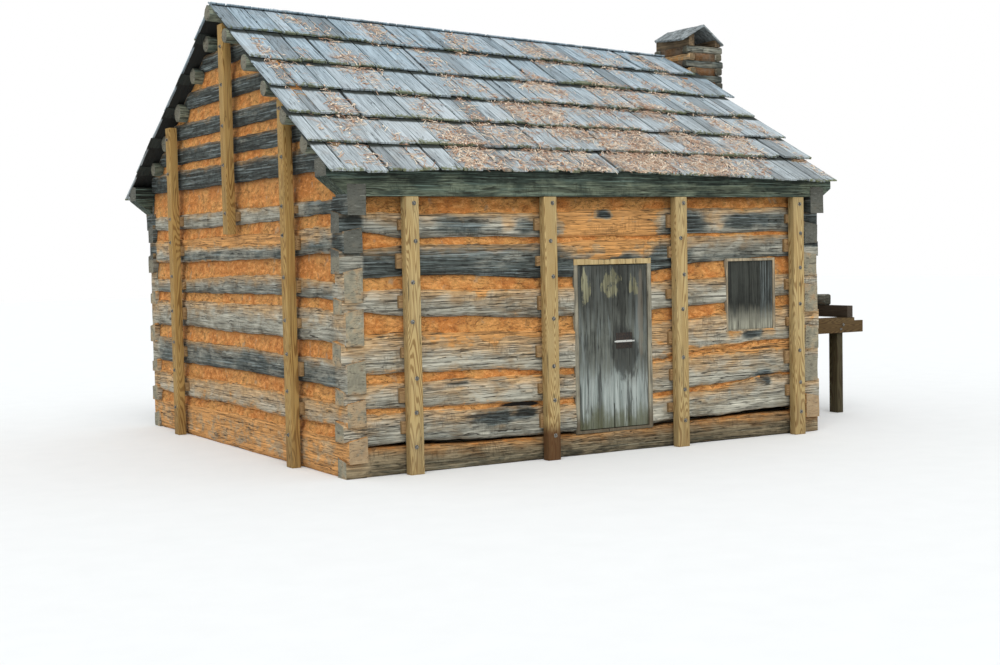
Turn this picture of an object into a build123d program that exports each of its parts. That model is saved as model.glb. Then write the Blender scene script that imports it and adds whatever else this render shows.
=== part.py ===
"""One-room log cabin: half-dovetailed hewn logs, shake roof, bracing posts, pole chimney."""

import math
import os

from build123d import *

os.makedirs("parts", exist_ok=True)

# Outside of the walls, the hewn logs and the clay between them
WIDTH = 5554
DEPTH = 5456
LOG = 180
WANE = 22
CLAY_RECESS = 26
HALF_W = WIDTH / 2
HALF_D = DEPTH / 2
INNER_W = HALF_W - LOG
INNER_D = HALF_D - LOG
NOTCH_RISE = 14
PLATE_Z = 2511

# Roof: the ridge sags to the right, so each end has its own heights
ROOF_LEFT = -HALF_W - 193
ROOF_RIGHT = HALF_W + 23
RIDGE_LEFT = 4630
RIDGE_RIGHT = 4378
EAVE_LEFT = 2708
EAVE_RIGHT = 2671
EAVE_OUT = 318
EAVE_Y = HALF_D + EAVE_OUT
SHAKE_BED = 45
SHAKE_STEP = 30
SEAT = 1
ATTIC_LAP = 10

# Courses of shakes, lowest first: where the butts lie up the slope, and the two ends of each
COURSES = (0.006, 0.169, 0.321, 0.478, 0.642, 0.829)
COURSE_LEFT = tuple(ROOF_LEFT - out for out in (16, 14, -6, -20, -34, -28))
COURSE_RIGHT = tuple(ROOF_RIGHT + out for out in (40, 140, 170, 160, 272, 150))
TOP_RIGHT = ROOF_RIGHT + 50
EAVE_BOW = 0.03
BOW_MID = -400
BOW_HALF = HALF_W + 223
ROOF_SPANS = 5

# Round timbers under the shakes; purlins by their share of the way out to the wall, and their size
POLE_LEFT = ROOF_LEFT - 5
BACK_POLE_LEFT = ROOF_LEFT + 115
POLE_RIGHT = ROOF_RIGHT + 80
FRONT_PURLINS = ((0.185, 0.88), (0.375, 0.92), (0.549, 0.9), (0.72, 0.95), (0.887, 1.04))
BACK_PURLINS = ((0.158, 1.0), (0.323, 1.03), (0.52, 1.2), (0.702, 1.08), (0.861, 0.95))
PLATE_W = 240
PLATE_OUT = 130
PLATE_TAPER = 175
PLATE_TAPER_FROM = 20
PLATE_NOTCH = 90
POLE_DROP = 3

# Doorway
DOOR_LEFT = -334
DOOR_RIGHT = 591
DOOR_SILL = 205
DOOR_HEAD = 1911

# Front wall, heights of each log along the wall, bottom log first
LEFT_OF_DOOR = tuple(part * INNER_W for part in (-1, -0.847, -0.578, -0.289))
RIGHT_OF_DOOR = tuple(part * INNER_W for part in (0.424, 0.578, 0.77, 1))
FRONT_AT = LEFT_OF_DOOR + (DOOR_LEFT, DOOR_RIGHT) + RIGHT_OF_DOOR
FRONT_LOGS = (
    ((0, 0, 0, 0, 0, 0, 0, 0, 0, 0), (252, 240, 215, 205, 205, 205, 215, 225, 230, 235)),
    ((270, 289, 262, 243, 245, 260, 280, 270, 290, 307), (557, 567, 535, 511, 505, 502, 530, 557, 631, 640)),
    ((613, 604, 580, 567, 565, 548, 576, 594, 650, 660), (826, 835, 830, 807, 805, 863, 900, 918, 974, 992)),
    (
        (918, 924, 909, 863, 860, 881, 940, 965, 1011, 1030),
        (1280, 1289, 1265, 1224, 1224, 1270, 1278, 1326, 1370, 1381),
    ),
    (
        (1483, 1446, 1410, 1368, 1365, 1390, 1409, 1433, 1470, 1492),
        (1678, 1687, 1655, 1640, 1640, 1668, 1687, 1705, 1705, 1700),
    ),
    (
        (1789, 1798, 1795, 1742, 1745, 1780, 1844, 1863, 1890, 1900),
        (2048, 2067, 2072, 2057, 2085, 2104, 2104, 2113, 2115, 2113),
    ),
    (
        (2200, 2146, 2150, 2135, 2132, 2135, 2146, 2150, 2155, 2159),
        (2365, 2365, 2368, 2362, 2380, 2400, 2400, 2405, 2412, 2412),
    ),
)

# Left gable wall, the same way, and the right one shifted to its own corner notches
SIDE_AT = tuple(part * INNER_D for part in (-1, -0.824, -0.471, 0, 0.549, 0.903, 1))
SIDE_LOGS = (
    ((0, 0, 0, 0, 0, 0, 0), (360, 358, 350, 358, 338, 310, 310)),
    ((473, 454, 442, 454, 427, 435, 440), (685, 677, 677, 685, 658, 673, 675)),
    ((800, 810, 819, 827, 819, 800, 800), (1050, 1058, 1050, 1069, 1069, 1090, 1090)),
    ((1215, 1215, 1223, 1223, 1235, 1223, 1223), (1500, 1510, 1519, 1530, 1519, 1504, 1504)),
    ((1590, 1615, 1627, 1619, 1615, 1608, 1608), (1754, 1780, 1819, 1812, 1760, 1760, 1760)),
    ((2019, 2012, 1973, 1973, 1954, 1954, 1960), (2260, 2260, 2223, 2223, 2210, 2204, 2204)),
    ((2380, 2377, 2350, 2330, 2325, 2325, 2330), (2500, 2500, 2495, 2490, 2490, 2490, 2490)),
)
RIGHT_LIFT = ((0, 30), (90, 120), (80, 60), (70, 60), (80, 110), (40, 10), (10, 0))

# Heights where the notched tails meet at a corner, front log first, then gable log
LEFT_BANDS = (0, 159, 344, 483, 678, 785, 1030, 1205, 1492, 1594, 1854, 2035, 2215, 2372, PLATE_Z)
RIGHT_BANDS = (0, 180, 390, 570, 810, 930, 1130, 1320, 1570, 1700, 1910, 2050, 2230, 2380, PLATE_Z)
TAIL_OUT = (18, 34, 26, 40, 22, 36, 28)

# Gable logs over the plate, bottom and top of each
PEAK_LOGS = ((2767, 2983), (3067, 3233), (3330, 3504), (3650, 3825), (4000, 4160))
PEAK_CLAY = HALF_D - 113
PEAK_TOP_LEFT = 4200
PEAK_TOP_RIGHT = 4100

# Board frame of the doorway, the leaf and its ironwork
JAMB = 45
HEAD_BOARD = 57
THRESHOLD = 30
LEAF_GAP = 8
LEAF_T = 28
LEAF_IN = 10
LEAF_SEAMS = (-146, 123, 396)
LEAF_SLOT_X = 120
LEAF_SLOT_H = 235
BATTEN_T = 22
BATTEN_H = 120
HINGE_PIN = 4
PIN_FIT = 0.3
KNUCKLE_R = 7
KNUCKLE_H = 30
EYE_R = 9
EYE_H = 100
STRAP_T = 8
HINGE_OFF = 16
HINGE_Z = (560, 1560)
HASP_X = (158, 352)
HASP_Z = (1020, 1175)
HASP_BAR_X = (135, 375)
HASP_BAR_Z = (1083, 1097)

# Window hole, its boards and the shutter
WIN_LEFT = HALF_W - 1231
WIN_RIGHT = HALF_W - 569
WIN_SILL = 1121
WIN_HEAD = 1880
WIN_BOARD = 28
WIN_SILL_BOARD = 18
SHUTTER_IN = 12
SHUTTER_T = 25
SHUTTER_SEAMS = (WIN_LEFT + 174, WIN_LEFT + 322, WIN_LEFT + 468)
SEAM_W = 4
SEAM_DEPTH = 9

# Floor
FLOOR_Z = 235
FLOOR_T = 32
JOIST_W = 150
JOIST_FOOT = 20
JOISTS = 8
JOIST_EDGE = 357
JOIST_STEP = 2 * (INNER_W - JOIST_EDGE) / (JOISTS - 1)

# Bracing timbers, four by six inch
BEAM_W = 140
BEAM_T = 89
SPACER = 38
FRONT_POST_X = (-HALF_W + 563, -741, 813, HALF_W - 415)
FRONT_POST_TOP = PLATE_Z - 2
SIDE_POST_Y = (-HALF_D + 972, -230, HALF_D - 1198)
SIDE_POST_TOP = (3470, 4370, 3460)
SIDE_POST_FOOT = (0, 2233, 0)
RIGHT_POST_Y = (-HALF_D + 972, HALF_D - 1112)
RIGHT_POST_TOP = 3300

# Chimney, standing out from the right gable wall: two ends and half the width of each part
STACK = (HALF_W + 203, HALF_W + 703, 330)
PEN = (HALF_W + 123, HALF_W + 1593, 1000)
PEN_Z = 1403
SHOULDER_Z = 1640
NECK_Z = 3240
STACK_TOP = 4507
POLE_H = 87
POLE_W = 95
DAUB_RECESS = 12
FLUE_WALL = 115
FLUE = (STACK[0] + FLUE_WALL, STACK[1] - FLUE_WALL, STACK[2] - FLUE_WALL)
FIREBOX = (HALF_W + 323, HALF_W + 873, 600)
HEARTH_HEAD = 885
FIREBOX_OUT = (HALF_W + 1173, 850)
FOOTING_OUT = (HALF_W + 1323, 1000)
FOOTING_Z = 600
CAP_X = (STACK[0] - 130, STACK[0] + 215, STACK[1] + 20)
CAP_FEET = (STACK_TOP + 8, STACK_TOP - 33)
CAP_RIDGE = STACK_TOP + 199
CAP_SHORT = 140
CAP_T = 22
CAP_Y = 365

# Shoring frame around the chimney
SHORE_Y = 1600
SHORE_POST_X = (HALF_W + 183, HALF_W + 1378)
SHORE_END = HALF_W + 1759
SHORE_START = HALF_W + 143
HEADER_T = 38
HEADER_TOP = 1095
NEEDLE_X = (HALF_W + 183, HALF_W + 1505)
NEEDLE_Y = 1640
NEEDLE_Z = HEADER_TOP + HEADER_T
MUDSILL_Y = 1280
MUDSILL_W = 100


def front(a, c, z):
    return (a, -HALF_D + c, z)


def back(a, c, z):
    return (a, HALF_D - c, z)


def left(a, c, z):
    return (-HALF_W + c, a, z)


def right(a, c, z):
    return (HALF_W - c, a, z)


def flat(quad):
    a, b, c, d = [Vector(*p) for p in quad]
    normal = (b - a).cross(c - a)
    return normal.length > 0 and abs(normal.normalized().dot(d - a)) < 0.01


def polygon(points):
    return Face(Wire.make_polygon([Vector(*p) for p in points], close=True))


def skin(sections):
    """A solid over corner rings that lie one behind the other, with flat or once folded sides."""
    faces = [polygon(sections[0]), polygon(sections[-1])]
    for ring, following in zip(sections, sections[1:]):
        for i in range(len(ring)):
            j = (i + 1) % len(ring)
            quad = (ring[i], ring[j], following[j], following[i])
            if flat(quad):
                faces.append(polygon(quad))
            else:
                faces.append(polygon(quad[:3]))
                faces.append(polygon((quad[0], quad[2], quad[3])))
    body = Solid(Shell(faces))
    return body if body.volume > 0 else -body


def block(x0, x1, y0, y1, z0, z1):
    return Box(x1 - x0, y1 - y0, z1 - z0, align=Align.MIN).moved(Location((x0, y0, z0)))


def wall_block(place, a0, a1, c0, c1, z0, z1):
    ends = [place(a0, c0, z0), place(a1, c1, z1)]
    low = [min(v) for v in zip(*ends)]
    high = [max(v) for v in zip(*ends)]
    return block(low[0], high[0], low[1], high[1], low[2], high[2])


def between(at, heights, a):
    for i in range(len(at) - 1):
        if at[i] <= a <= at[i + 1]:
            part = (a - at[i]) / (at[i + 1] - at[i])
            return heights[i] + part * (heights[i + 1] - heights[i])
    return heights[-1]


def hewn(place, at, bottoms, tops):
    """Log body with waney long edges."""
    rings = []
    for a, zb, zt in zip(at, bottoms, tops):
        profile = (
            (0, zb + WANE),
            (0, zt - WANE),
            (WANE, zt),
            (LOG - WANE, zt),
            (LOG, zt - WANE),
            (LOG, zb + WANE),
            (LOG - WANE, zb),
            (WANE, zb),
        )
        rings.append([place(a, c, z) for c, z in profile])
    return skin(rings)


def tail(place, inner, sign, zb, zt, out, flat_foot, flat_top):
    """Half-dovetail: the seat slopes along the log, the top across it."""
    rings = []
    for along in (LOG, -out):
        a = inner + sign * (LOG - along)
        foot = zb if flat_foot else zb + NOTCH_RISE * (2 * along / LOG - 1)
        outer = zt if flat_top else zt - NOTCH_RISE
        inside = zt if flat_top else zt + NOTCH_RISE
        ring = ((0, foot), (0, outer), (LOG, inside), (LOG, foot))
        rings.append([place(a, c, z) for c, z in ring])
    return skin(rings)


def wall_logs(place, at, logs, inner, low_bands, high_bands, first):
    """Logs with a tail at each end; first is 0 for front logs, 1 for gable logs."""
    made = []
    for k, (bottoms, tops) in enumerate(logs):
        j = 2 * k + first
        body = hewn(place, at, bottoms, tops)
        for sign, bands in ((-1, low_bands), (1, high_bands)):
            last = j + 1 == len(bands) - 1
            out = PLATE_OUT if last else TAIL_OUT[(k + 3 * first) % len(TAIL_OUT)]
            end = tail(place, sign * inner, sign, bands[j], bands[j + 1], out, j == 0, last)
            body = body + end
            if last:
                body = body + plate_seat(place, sign, bands[j] + NOTCH_RISE, PLATE_Z + PLATE_NOTCH)
        made.append(body)
    return made


def plate_seat(place, sign, low, high):
    """Raised end of the top gable log, which the eave log is notched over."""
    outer = HALF_D + PLATE_OUT
    return wall_block(place, sign * (outer - PLATE_W), sign * outer, 0, LOG, low, high)


def chinks(place, at, logs, first):
    """Clay from the top of each log to the foot of the next."""
    made = []
    for k in range(first, len(logs)):
        low = logs[k][1]
        high = logs[k + 1][0] if k + 1 < len(logs) else [PLATE_Z] * len(at)
        rings = []
        for a, z0, z1 in zip(at, low, high):
            ring = ((CLAY_RECESS, z0), (CLAY_RECESS, z1), (LOG - CLAY_RECESS, z1), (LOG - CLAY_RECESS, z0))
            rings.append([place(a, c, z) for c, z in ring])
        made.append(skin(rings))
    return made


def cut_all(solids, *tools):
    made = []
    for solid in solids:
        for tool in tools:
            solid = solid - tool
        made.extend(solid.solids())
    return made


def keep(solids, x0, x1):
    """The solids whose middle lies between x0 and x1."""
    chosen = []
    for solid in solids:
        box = solid.bounding_box()
        if x0 <= (box.min.X + box.max.X) / 2 <= x1:
            chosen.append(solid)
    return chosen


def ridge_z(x):
    part = (x - ROOF_LEFT) / (ROOF_RIGHT - ROOF_LEFT)
    return RIDGE_LEFT + part * (RIDGE_RIGHT - RIDGE_LEFT)


def roof_z(x, y):
    """Line over the butts of the shakes."""
    part = (x - ROOF_LEFT) / (ROOF_RIGHT - ROOF_LEFT)
    eave = EAVE_LEFT + part * (EAVE_RIGHT - EAVE_LEFT)
    return ridge_z(x) + abs(y) / EAVE_Y * (eave - ridge_z(x))


def bed_z(x, y):
    return roof_z(x, y) - SHAKE_BED


def butt_y(course, x):
    """Distance from the ridge of a course's lower edge; the eave bows up the slope in its middle."""
    part = COURSES[course]
    if course == 0:
        part += EAVE_BOW * max(0, 1 - ((x - BOW_MID) / BOW_HALF) ** 2)
    return EAVE_Y * (1 - part)


def roof_course(side, course):
    """One course of shakes from its butts to those of the next, or to the ridge."""
    last = course == len(COURSES) - 1
    rings = []
    for i in range(ROOF_SPANS + 1):
        part = i / ROOF_SPANS
        low_x = COURSE_LEFT[course] + part * (COURSE_RIGHT[course] - COURSE_LEFT[course])
        right = TOP_RIGHT if last else COURSE_RIGHT[course]
        high_x = COURSE_LEFT[course] + part * (right - COURSE_LEFT[course])
        low = butt_y(course, low_x)
        high = 0 if last else EAVE_Y * (1 - COURSES[course + 1])
        step = SHAKE_STEP
        ring = (
            (low_x, low, bed_z(low_x, low)),
            (low_x, low, roof_z(low_x, low)),
            (high_x, high, roof_z(high_x, high) - step),
            (high_x, high, bed_z(high_x, high)),
        )
        rings.append([(x, side * y, z) for x, y, z in ring])
    return skin(rings)


def roof_slope(side):
    """Six stepped courses of shakes joined, from eave to ridge."""
    slope = roof_course(side, 0)
    for course in range(1, len(COURSES)):
        slope = slope + roof_course(side, course)
    return slope


def roof_tilt():
    """Pitch of the slopes at their middle."""
    return math.atan2(ridge_z(0) - roof_z(0, EAVE_Y), EAVE_Y)


def pole_ring(x, out, size):
    """Cross-section of a purlin hewn flat where the shakes lie."""
    tilt = roof_tilt()
    half = ((45, 0), (75, 25), (85, 70), (70, 120), (30, 150))
    shape = half + tuple((-u, n) for u, n in reversed(half))
    ring = []
    for u, n in shape:
        u, n = u * size, n * size
        y = out + u * math.cos(tilt) - n * math.sin(tilt)
        z = bed_z(x, out) - SEAT - POLE_DROP - u * math.sin(tilt) - n * math.cos(tilt)
        ring.append((y, z))
    return ring


def purlin(side, x0, out, size):
    rings = []
    for x, grow in ((x0, size), (POLE_RIGHT, size * 0.9)):
        rings.append([(x, side * y, z) for y, z in pole_ring(x, out, grow)])
    return skin(rings)


def ridge_pole():
    rings = []
    for x in (POLE_LEFT, POLE_RIGHT):
        half = [(60, bed_z(x, 60) - SEAT)]
        top = bed_z(x, 0) - SEAT
        half += [(85, top - 88), (72, top - 135), (28, top - 162)]
        other = [(-y, z) for y, z in reversed(half)]
        ring = [(0, top)] + half + other
        rings.append([(x, y, z) for y, z in ring])
    return skin(rings)


def eave_log(side, seats):
    """Wall plate that stands out past the wall, hewn to the slope on top and trimmed below at its ends."""
    outer = HALF_D + PLATE_OUT
    mid = outer - PLATE_W / 2
    inner = outer - PLATE_W
    wall_end = HALF_W - PLATE_TAPER_FROM
    rings = []
    for x, rise in ((POLE_LEFT, PLATE_TAPER), (-wall_end, 0), (wall_end, 0), (POLE_RIGHT, PLATE_TAPER / 2)):
        top = bed_z(x, mid) - SEAT
        low = PLATE_Z + rise
        ring = ((outer, low), (outer, bed_z(x, outer) - SEAT), (mid, top), (inner, top - 16), (inner, low))
        rings.append([(x, side * y, z) for y, z in ring])
    return cut_all([skin(rings)], *seats)


def attic():
    """Space up to just over the underside of the shakes, for trimming the gable logs to the slope."""
    rings = []
    for x in (POLE_LEFT, POLE_RIGHT):
        half = EAVE_Y + 400
        ring = ((-half, bed_z(x, half) + ATTIC_LAP), (0, bed_z(x, 0) + ATTIC_LAP), (half, bed_z(x, half) + ATTIC_LAP))
        low = ((half, PLATE_Z - 500), (-half, PLATE_Z - 500))
        rings.append([(x, y, z) for y, z in ring + low])
    return skin(rings)


def gable_peak(place, timbers, roof_space, top_z):
    """Logs and clay that fill the gable, cut under the shakes and round the purlins."""
    logs = []
    clay = []
    previous = PLATE_Z
    for low, high in PEAK_LOGS:
        high = min(high, top_z)
        at = (-PEAK_CLAY, PEAK_CLAY)
        log = hewn(place, at, (low, low), (high, high))
        pad = wall_block(place, -PEAK_CLAY, PEAK_CLAY, CLAY_RECESS, LOG - CLAY_RECESS, previous, low)
        for piece, store in ((log, logs), (pad, clay)):
            piece = piece & roof_space
            cut = cut_all([piece], *timbers)
            store.append(max(cut, key=lambda solid: solid.volume))
        previous = high
    return logs, clay


def door_frame():
    head = DOOR_HEAD - HEAD_BOARD
    foot = DOOR_SILL + THRESHOLD
    jamb_l = wall_block(front, DOOR_LEFT, DOOR_LEFT + JAMB, 0, LOG, foot, head)
    jamb_r = wall_block(front, DOOR_RIGHT - JAMB, DOOR_RIGHT, 0, LOG, foot, head)
    lintel = wall_block(front, DOOR_LEFT, DOOR_RIGHT, 0, LOG, head, DOOR_HEAD)
    threshold = wall_block(front, DOOR_LEFT, DOOR_RIGHT, 0, LOG, DOOR_SILL, foot)
    return jamb_l + jamb_r + lintel + threshold


def door_leaf():
    """Four upright planks with shallow seams, a worn slot at the foot and two battens."""
    x0 = DOOR_LEFT + JAMB + LEAF_GAP
    x1 = DOOR_RIGHT - JAMB - LEAF_GAP
    z0 = DOOR_SILL + THRESHOLD + LEAF_GAP
    z1 = DOOR_HEAD - HEAD_BOARD - LEAF_GAP
    leaf = wall_block(front, x0, x1, LEAF_IN, LEAF_IN + LEAF_T, z0, z1)
    for seam in LEAF_SEAMS:
        leaf = leaf - seam_cut(seam, LEAF_IN, z0, z1)
    slot = wall_block(front, LEAF_SLOT_X, LEAF_SLOT_X + 14, 0, LOG, z0 - 1, z0 + LEAF_SLOT_H)
    leaf = leaf - slot
    back_face = LEAF_IN + LEAF_T
    for z in HINGE_Z:
        batten = (back_face, back_face + BATTEN_T, z - BATTEN_H / 2, z + BATTEN_H / 2)
        leaf = leaf + wall_block(front, x0 + 60, x1 - 20, *batten)
    return leaf


def seam_cut(x, face, z0, z1):
    """Groove where two planks meet."""
    return wall_block(front, x - SEAM_W / 2, x + SEAM_W / 2, face - 1, face + SEAM_DEPTH, z0 - 1, z1 + 1)


def hinge_axis():
    x = DOOR_LEFT + JAMB + HINGE_OFF
    c = LEAF_IN + LEAF_T + KNUCKLE_R + 5
    return front(x, c, 0)


def door_straps():
    """Strap with its eye round the pin, on the inner face beside each batten's end."""
    x, y, _ = hinge_axis()
    made = []
    for z in HINGE_Z:
        middle = Location((x, y, z))
        eye = Cylinder(EYE_R, EYE_H).moved(middle)
        c0 = LEAF_IN + LEAF_T
        plate = wall_block(front, x, DOOR_LEFT + JAMB + LEAF_GAP + 55, c0, c0 + STRAP_T, z - 30, z + 30)
        bore = Cylinder(HINGE_PIN + PIN_FIT, EYE_H + 2).moved(middle)
        made.append(eye + plate - bore)
    return made


def hinge_pintles():
    """Pin between a knuckle over and one under each eye, on plates let on to the jamb."""
    x, y, _ = hinge_axis()
    face = DOOR_LEFT + JAMB
    made = []
    for z in HINGE_Z:
        reach = EYE_H / 2 + PIN_FIT
        pintle = Cylinder(HINGE_PIN, 2 * reach + 2).moved(Location((x, y, z)))
        for low in (z - reach - KNUCKLE_H, z + reach):
            high = low + KNUCKLE_H
            pintle = pintle + Cylinder(KNUCKLE_R, KNUCKLE_H).moved(Location((x, y, (low + high) / 2)))
            pintle = pintle + block(face, face + 4, y, y + 60, low, high)
            pintle = pintle + block(face, x, y - 3, y + 3, low, high)
        made.append(pintle)
    return made


def door_hasp():
    """Plate and bar on the outer face."""
    plate = wall_block(front, *HASP_X, LEAF_IN - 3, LEAF_IN, *HASP_Z)
    bar = wall_block(front, *HASP_BAR_X, LEAF_IN - 11, LEAF_IN - 3, *HASP_BAR_Z)
    return plate + bar


def window_frame():
    outer = wall_block(front, WIN_LEFT, WIN_RIGHT, 0, LOG, WIN_SILL, WIN_HEAD)
    x0, x1, z0, z1 = window_light()
    return outer - wall_block(front, x0, x1, -1, LOG + 1, z0, z1)


def window_light():
    """Edges of the hole inside the boards."""
    return WIN_LEFT + WIN_BOARD, WIN_RIGHT - WIN_BOARD, WIN_SILL + WIN_SILL_BOARD, WIN_HEAD - WIN_BOARD


def window_shutter():
    x0, x1, z0, z1 = window_light()
    board = wall_block(front, x0, x1, SHUTTER_IN, SHUTTER_IN + SHUTTER_T, z0, z1)
    for seam in SHUTTER_SEAMS:
        board = board - seam_cut(seam, SHUTTER_IN, z0, z1)
    return board


def plank_floor():
    """Boards carried by joists between the front and back sills."""
    boards = block(-INNER_W + 2, INNER_W - 2, -INNER_D + 2, INNER_D - 2, FLOOR_Z - FLOOR_T, FLOOR_Z)
    floor = boards
    for i in range(JOISTS):
        x = (i - (JOISTS - 1) / 2) * JOIST_STEP
        floor = floor + block(x - JOIST_W / 2, x + JOIST_W / 2, -INNER_D, INNER_D, JOIST_FOOT, FLOOR_Z - FLOOR_T)
    return floor


def front_posts(place):
    made = []
    for x in FRONT_POST_X:
        made.append(wall_block(place, x, x + BEAM_W, -SPACER - BEAM_T, -SPACER, 0, FRONT_POST_TOP))
    return made


def side_posts(place, at, feet, tops):
    made = []
    for y, foot, top in zip(at, feet, tops):
        made.append(wall_block(place, y, y + BEAM_W, -SPACER - BEAM_T, -SPACER, foot, top))
    return made


def spacers(place, at, logs, posts_at, feet):
    """Blocks between each post and the logs behind it."""
    made = []
    for k, (bottoms, tops) in enumerate(logs):
        if k == 0:
            continue
        for i, (a, foot) in enumerate(zip(posts_at, feet)):
            mid = a + BEAM_W / 2
            low = between(at, bottoms, mid) + WANE + 8
            high = between(at, tops, mid) - WANE - 8
            if low < foot + 20:
                continue
            size = min(high - low, 95 + 20 * ((k + i) % 3))
            centre = (low + high) / 2
            start = a - 22 - 14 * ((k + 2 * i) % 3)
            stop = start + BEAM_W + 6
            made.append(wall_block(place, start, stop, -SPACER, 0, centre - size / 2, centre + size / 2))
    return made


def chimney_rect(z):
    """Outside of the pole courses at a height: straight pen, sloping shoulder, straight stack."""
    part = min(1, max(0, (z - SHOULDER_Z) / (NECK_Z - SHOULDER_Z)))
    return [p + part * (s - p) for p, s in zip(PEN, STACK)]


def chimney_poles():
    """Notched poles laid crib-wise: two along X, then two along Y."""
    sides = {"front": [], "back": [], "left": [], "right": []}
    count = int((STACK_TOP - PEN_Z) // POLE_H)
    for k in range(count):
        z = PEN_Z + k * POLE_H
        x0, x1, half = chimney_rect(z + POLE_H / 2)
        out = 20 + 9 * (k % 3)
        if k % 2 == 0:
            y0 = half - POLE_W
            sides["front"].append(block(x0 - out, x1 + out, -half, -y0, z, z + POLE_H))
            sides["back"].append(block(x0 - out, x1 + out, y0, half, z, z + POLE_H))
        else:
            reach = half + out
            sides["left"].append(block(x0, x0 + POLE_W, -reach, reach, z, z + POLE_H))
            sides["right"].append(block(x1 - POLE_W, x1, -reach, reach, z, z + POLE_H))
    return sides, PEN_Z + count * POLE_H


def chimney_clay(poles, top):
    """Daub round a flue that narrows from the firebox to the stack."""
    outer = []
    inner = []
    for z in (PEN_Z, SHOULDER_Z, NECK_Z, top):
        x0, x1, half = chimney_rect(z)
        x0, x1, half = x0 + DAUB_RECESS, x1 - DAUB_RECESS, half - DAUB_RECESS
        outer.append([(x0, -half, z), (x1, -half, z), (x1, half, z), (x0, half, z)])
    levels = ((PEN_Z, FIREBOX), (SHOULDER_Z, FIREBOX), (NECK_Z, FLUE), (top, FLUE))
    for z, (x0, x1, half) in levels:
        inner.append([(x0, -half, z), (x1, -half, z), (x1, half, z), (x0, half, z)])
    body = skin(outer) - skin(inner)
    return body - Compound(children=[p for side in poles.values() for p in side])


def firebox():
    """Clay and stone walls on three sides, open toward the gable wall."""
    x1, half = FIREBOX_OUT
    x0, xr, reach = FIREBOX
    shell = block(HALF_W, x1, -half, half, 0, NEEDLE_Z + BEAM_W)
    mouth = block(HALF_W - 1, xr, -reach, reach, FLOOR_Z, HEARTH_HEAD)
    smoke = block(x0, xr, -reach, reach, HEARTH_HEAD - 1, NEEDLE_Z + BEAM_W + 1)
    needle = block(NEEDLE_X[0], NEEDLE_X[0] + BEAM_T, -half - 1, half + 1, NEEDLE_Z, NEEDLE_Z + BEAM_W)
    return shell - mouth - smoke - needle


def footing():
    x1, half = FOOTING_OUT
    bx, bh = FIREBOX_OUT
    outer = block(HALF_W + 60, x1, -half, half, 0, FOOTING_Z)
    return outer - block(HALF_W, bx, -bh, bh, -1, FOOTING_Z + 1)


def chimney_cap():
    """Two thin slopes of boards; the left ones fall short toward the back."""
    x0, xr, x1 = CAP_X
    left_z, right_z = CAP_FEET
    rise = (CAP_RIDGE - left_z) / (xr - x0)
    rings = []
    for y, cut in ((-CAP_Y, 0), (CAP_Y, CAP_SHORT)):
        upper = ((x0 + cut, left_z + cut * rise), (xr, CAP_RIDGE), (x1, right_z))
        lower = tuple((x, z - CAP_T) for x, z in reversed(upper))
        rings.append([(x, y, z) for x, z in upper + lower])
    return skin(rings)


def cap_bearers(top):
    """Split poles that carry the cap along the two sides of the flue."""
    x0, xr, x1 = CAP_X
    sides = ((STACK[0] + 10, STACK[0] + 90, x0), (STACK[1] - 90, STACK[1] - 10, x1))
    made = []
    for (low, high, edge), foot in zip(sides, CAP_FEET):
        slope = (CAP_RIDGE - foot) / abs(xr - edge)
        ring = [(low, top), (high, top)]
        for x in (high, low):
            ring.append((x, foot - CAP_T + abs(x - edge) * slope + 2))
        made.append(skin([[(x, y, z) for x, z in ring] for y in (-STACK[2], STACK[2])]))
    return made


def shoring():
    posts = []
    headers = []
    plates = []
    for side in (-1, 1):
        for x in SHORE_POST_X:
            ys = sorted((side * SHORE_Y, side * (SHORE_Y - BEAM_W)))
            posts.append(block(x, x + BEAM_T, ys[0], ys[1], 0, HEADER_TOP))
        ys = sorted((side * SHORE_Y, side * (SHORE_Y + HEADER_T)))
        headers.append(block(SHORE_START, SHORE_END, ys[0], ys[1], HEADER_TOP - BEAM_W, HEADER_TOP))
        ys = sorted((side * (SHORE_Y + HEADER_T), side * (SHORE_Y - BEAM_W)))
        plates.append(block(SHORE_START, NEEDLE_X[1] + BEAM_T + 30, ys[0], ys[1], HEADER_TOP, NEEDLE_Z))
    needles = []
    for x in NEEDLE_X:
        needles.append(block(x, x + BEAM_T, -NEEDLE_Y, NEEDLE_Y, NEEDLE_Z, NEEDLE_Z + BEAM_W))
    return posts, headers, plates, needles


def chimney_mudsills():
    """Heavy poles that spread the pen over the needles."""
    made = []
    for x in (PEN[0], PEN[1] - MUDSILL_W):
        made.append(block(x, x + MUDSILL_W, -MUDSILL_Y, MUDSILL_Y, NEEDLE_Z + BEAM_W, PEN_Z))
    return made


def chimney_throat():
    """Clay between the firebox and the pole courses."""
    low = NEEDLE_Z + BEAM_W
    outer = block(PEN[0] + MUDSILL_W, PEN[1] - MUDSILL_W, -PEN[2] + 60, PEN[2] - 60, low, PEN_Z)
    return outer - block(FIREBOX[0], FIREBOX[1], -FIREBOX[2], FIREBOX[2], low - 1, PEN_Z + 1)


def right_logs(logs):
    lifted = []
    for (bottoms, tops), (low, high) in zip(logs, RIGHT_LIFT):
        lifted.append(([b + low for b in bottoms], [t + high for t in tops]))
    return lifted


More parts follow.
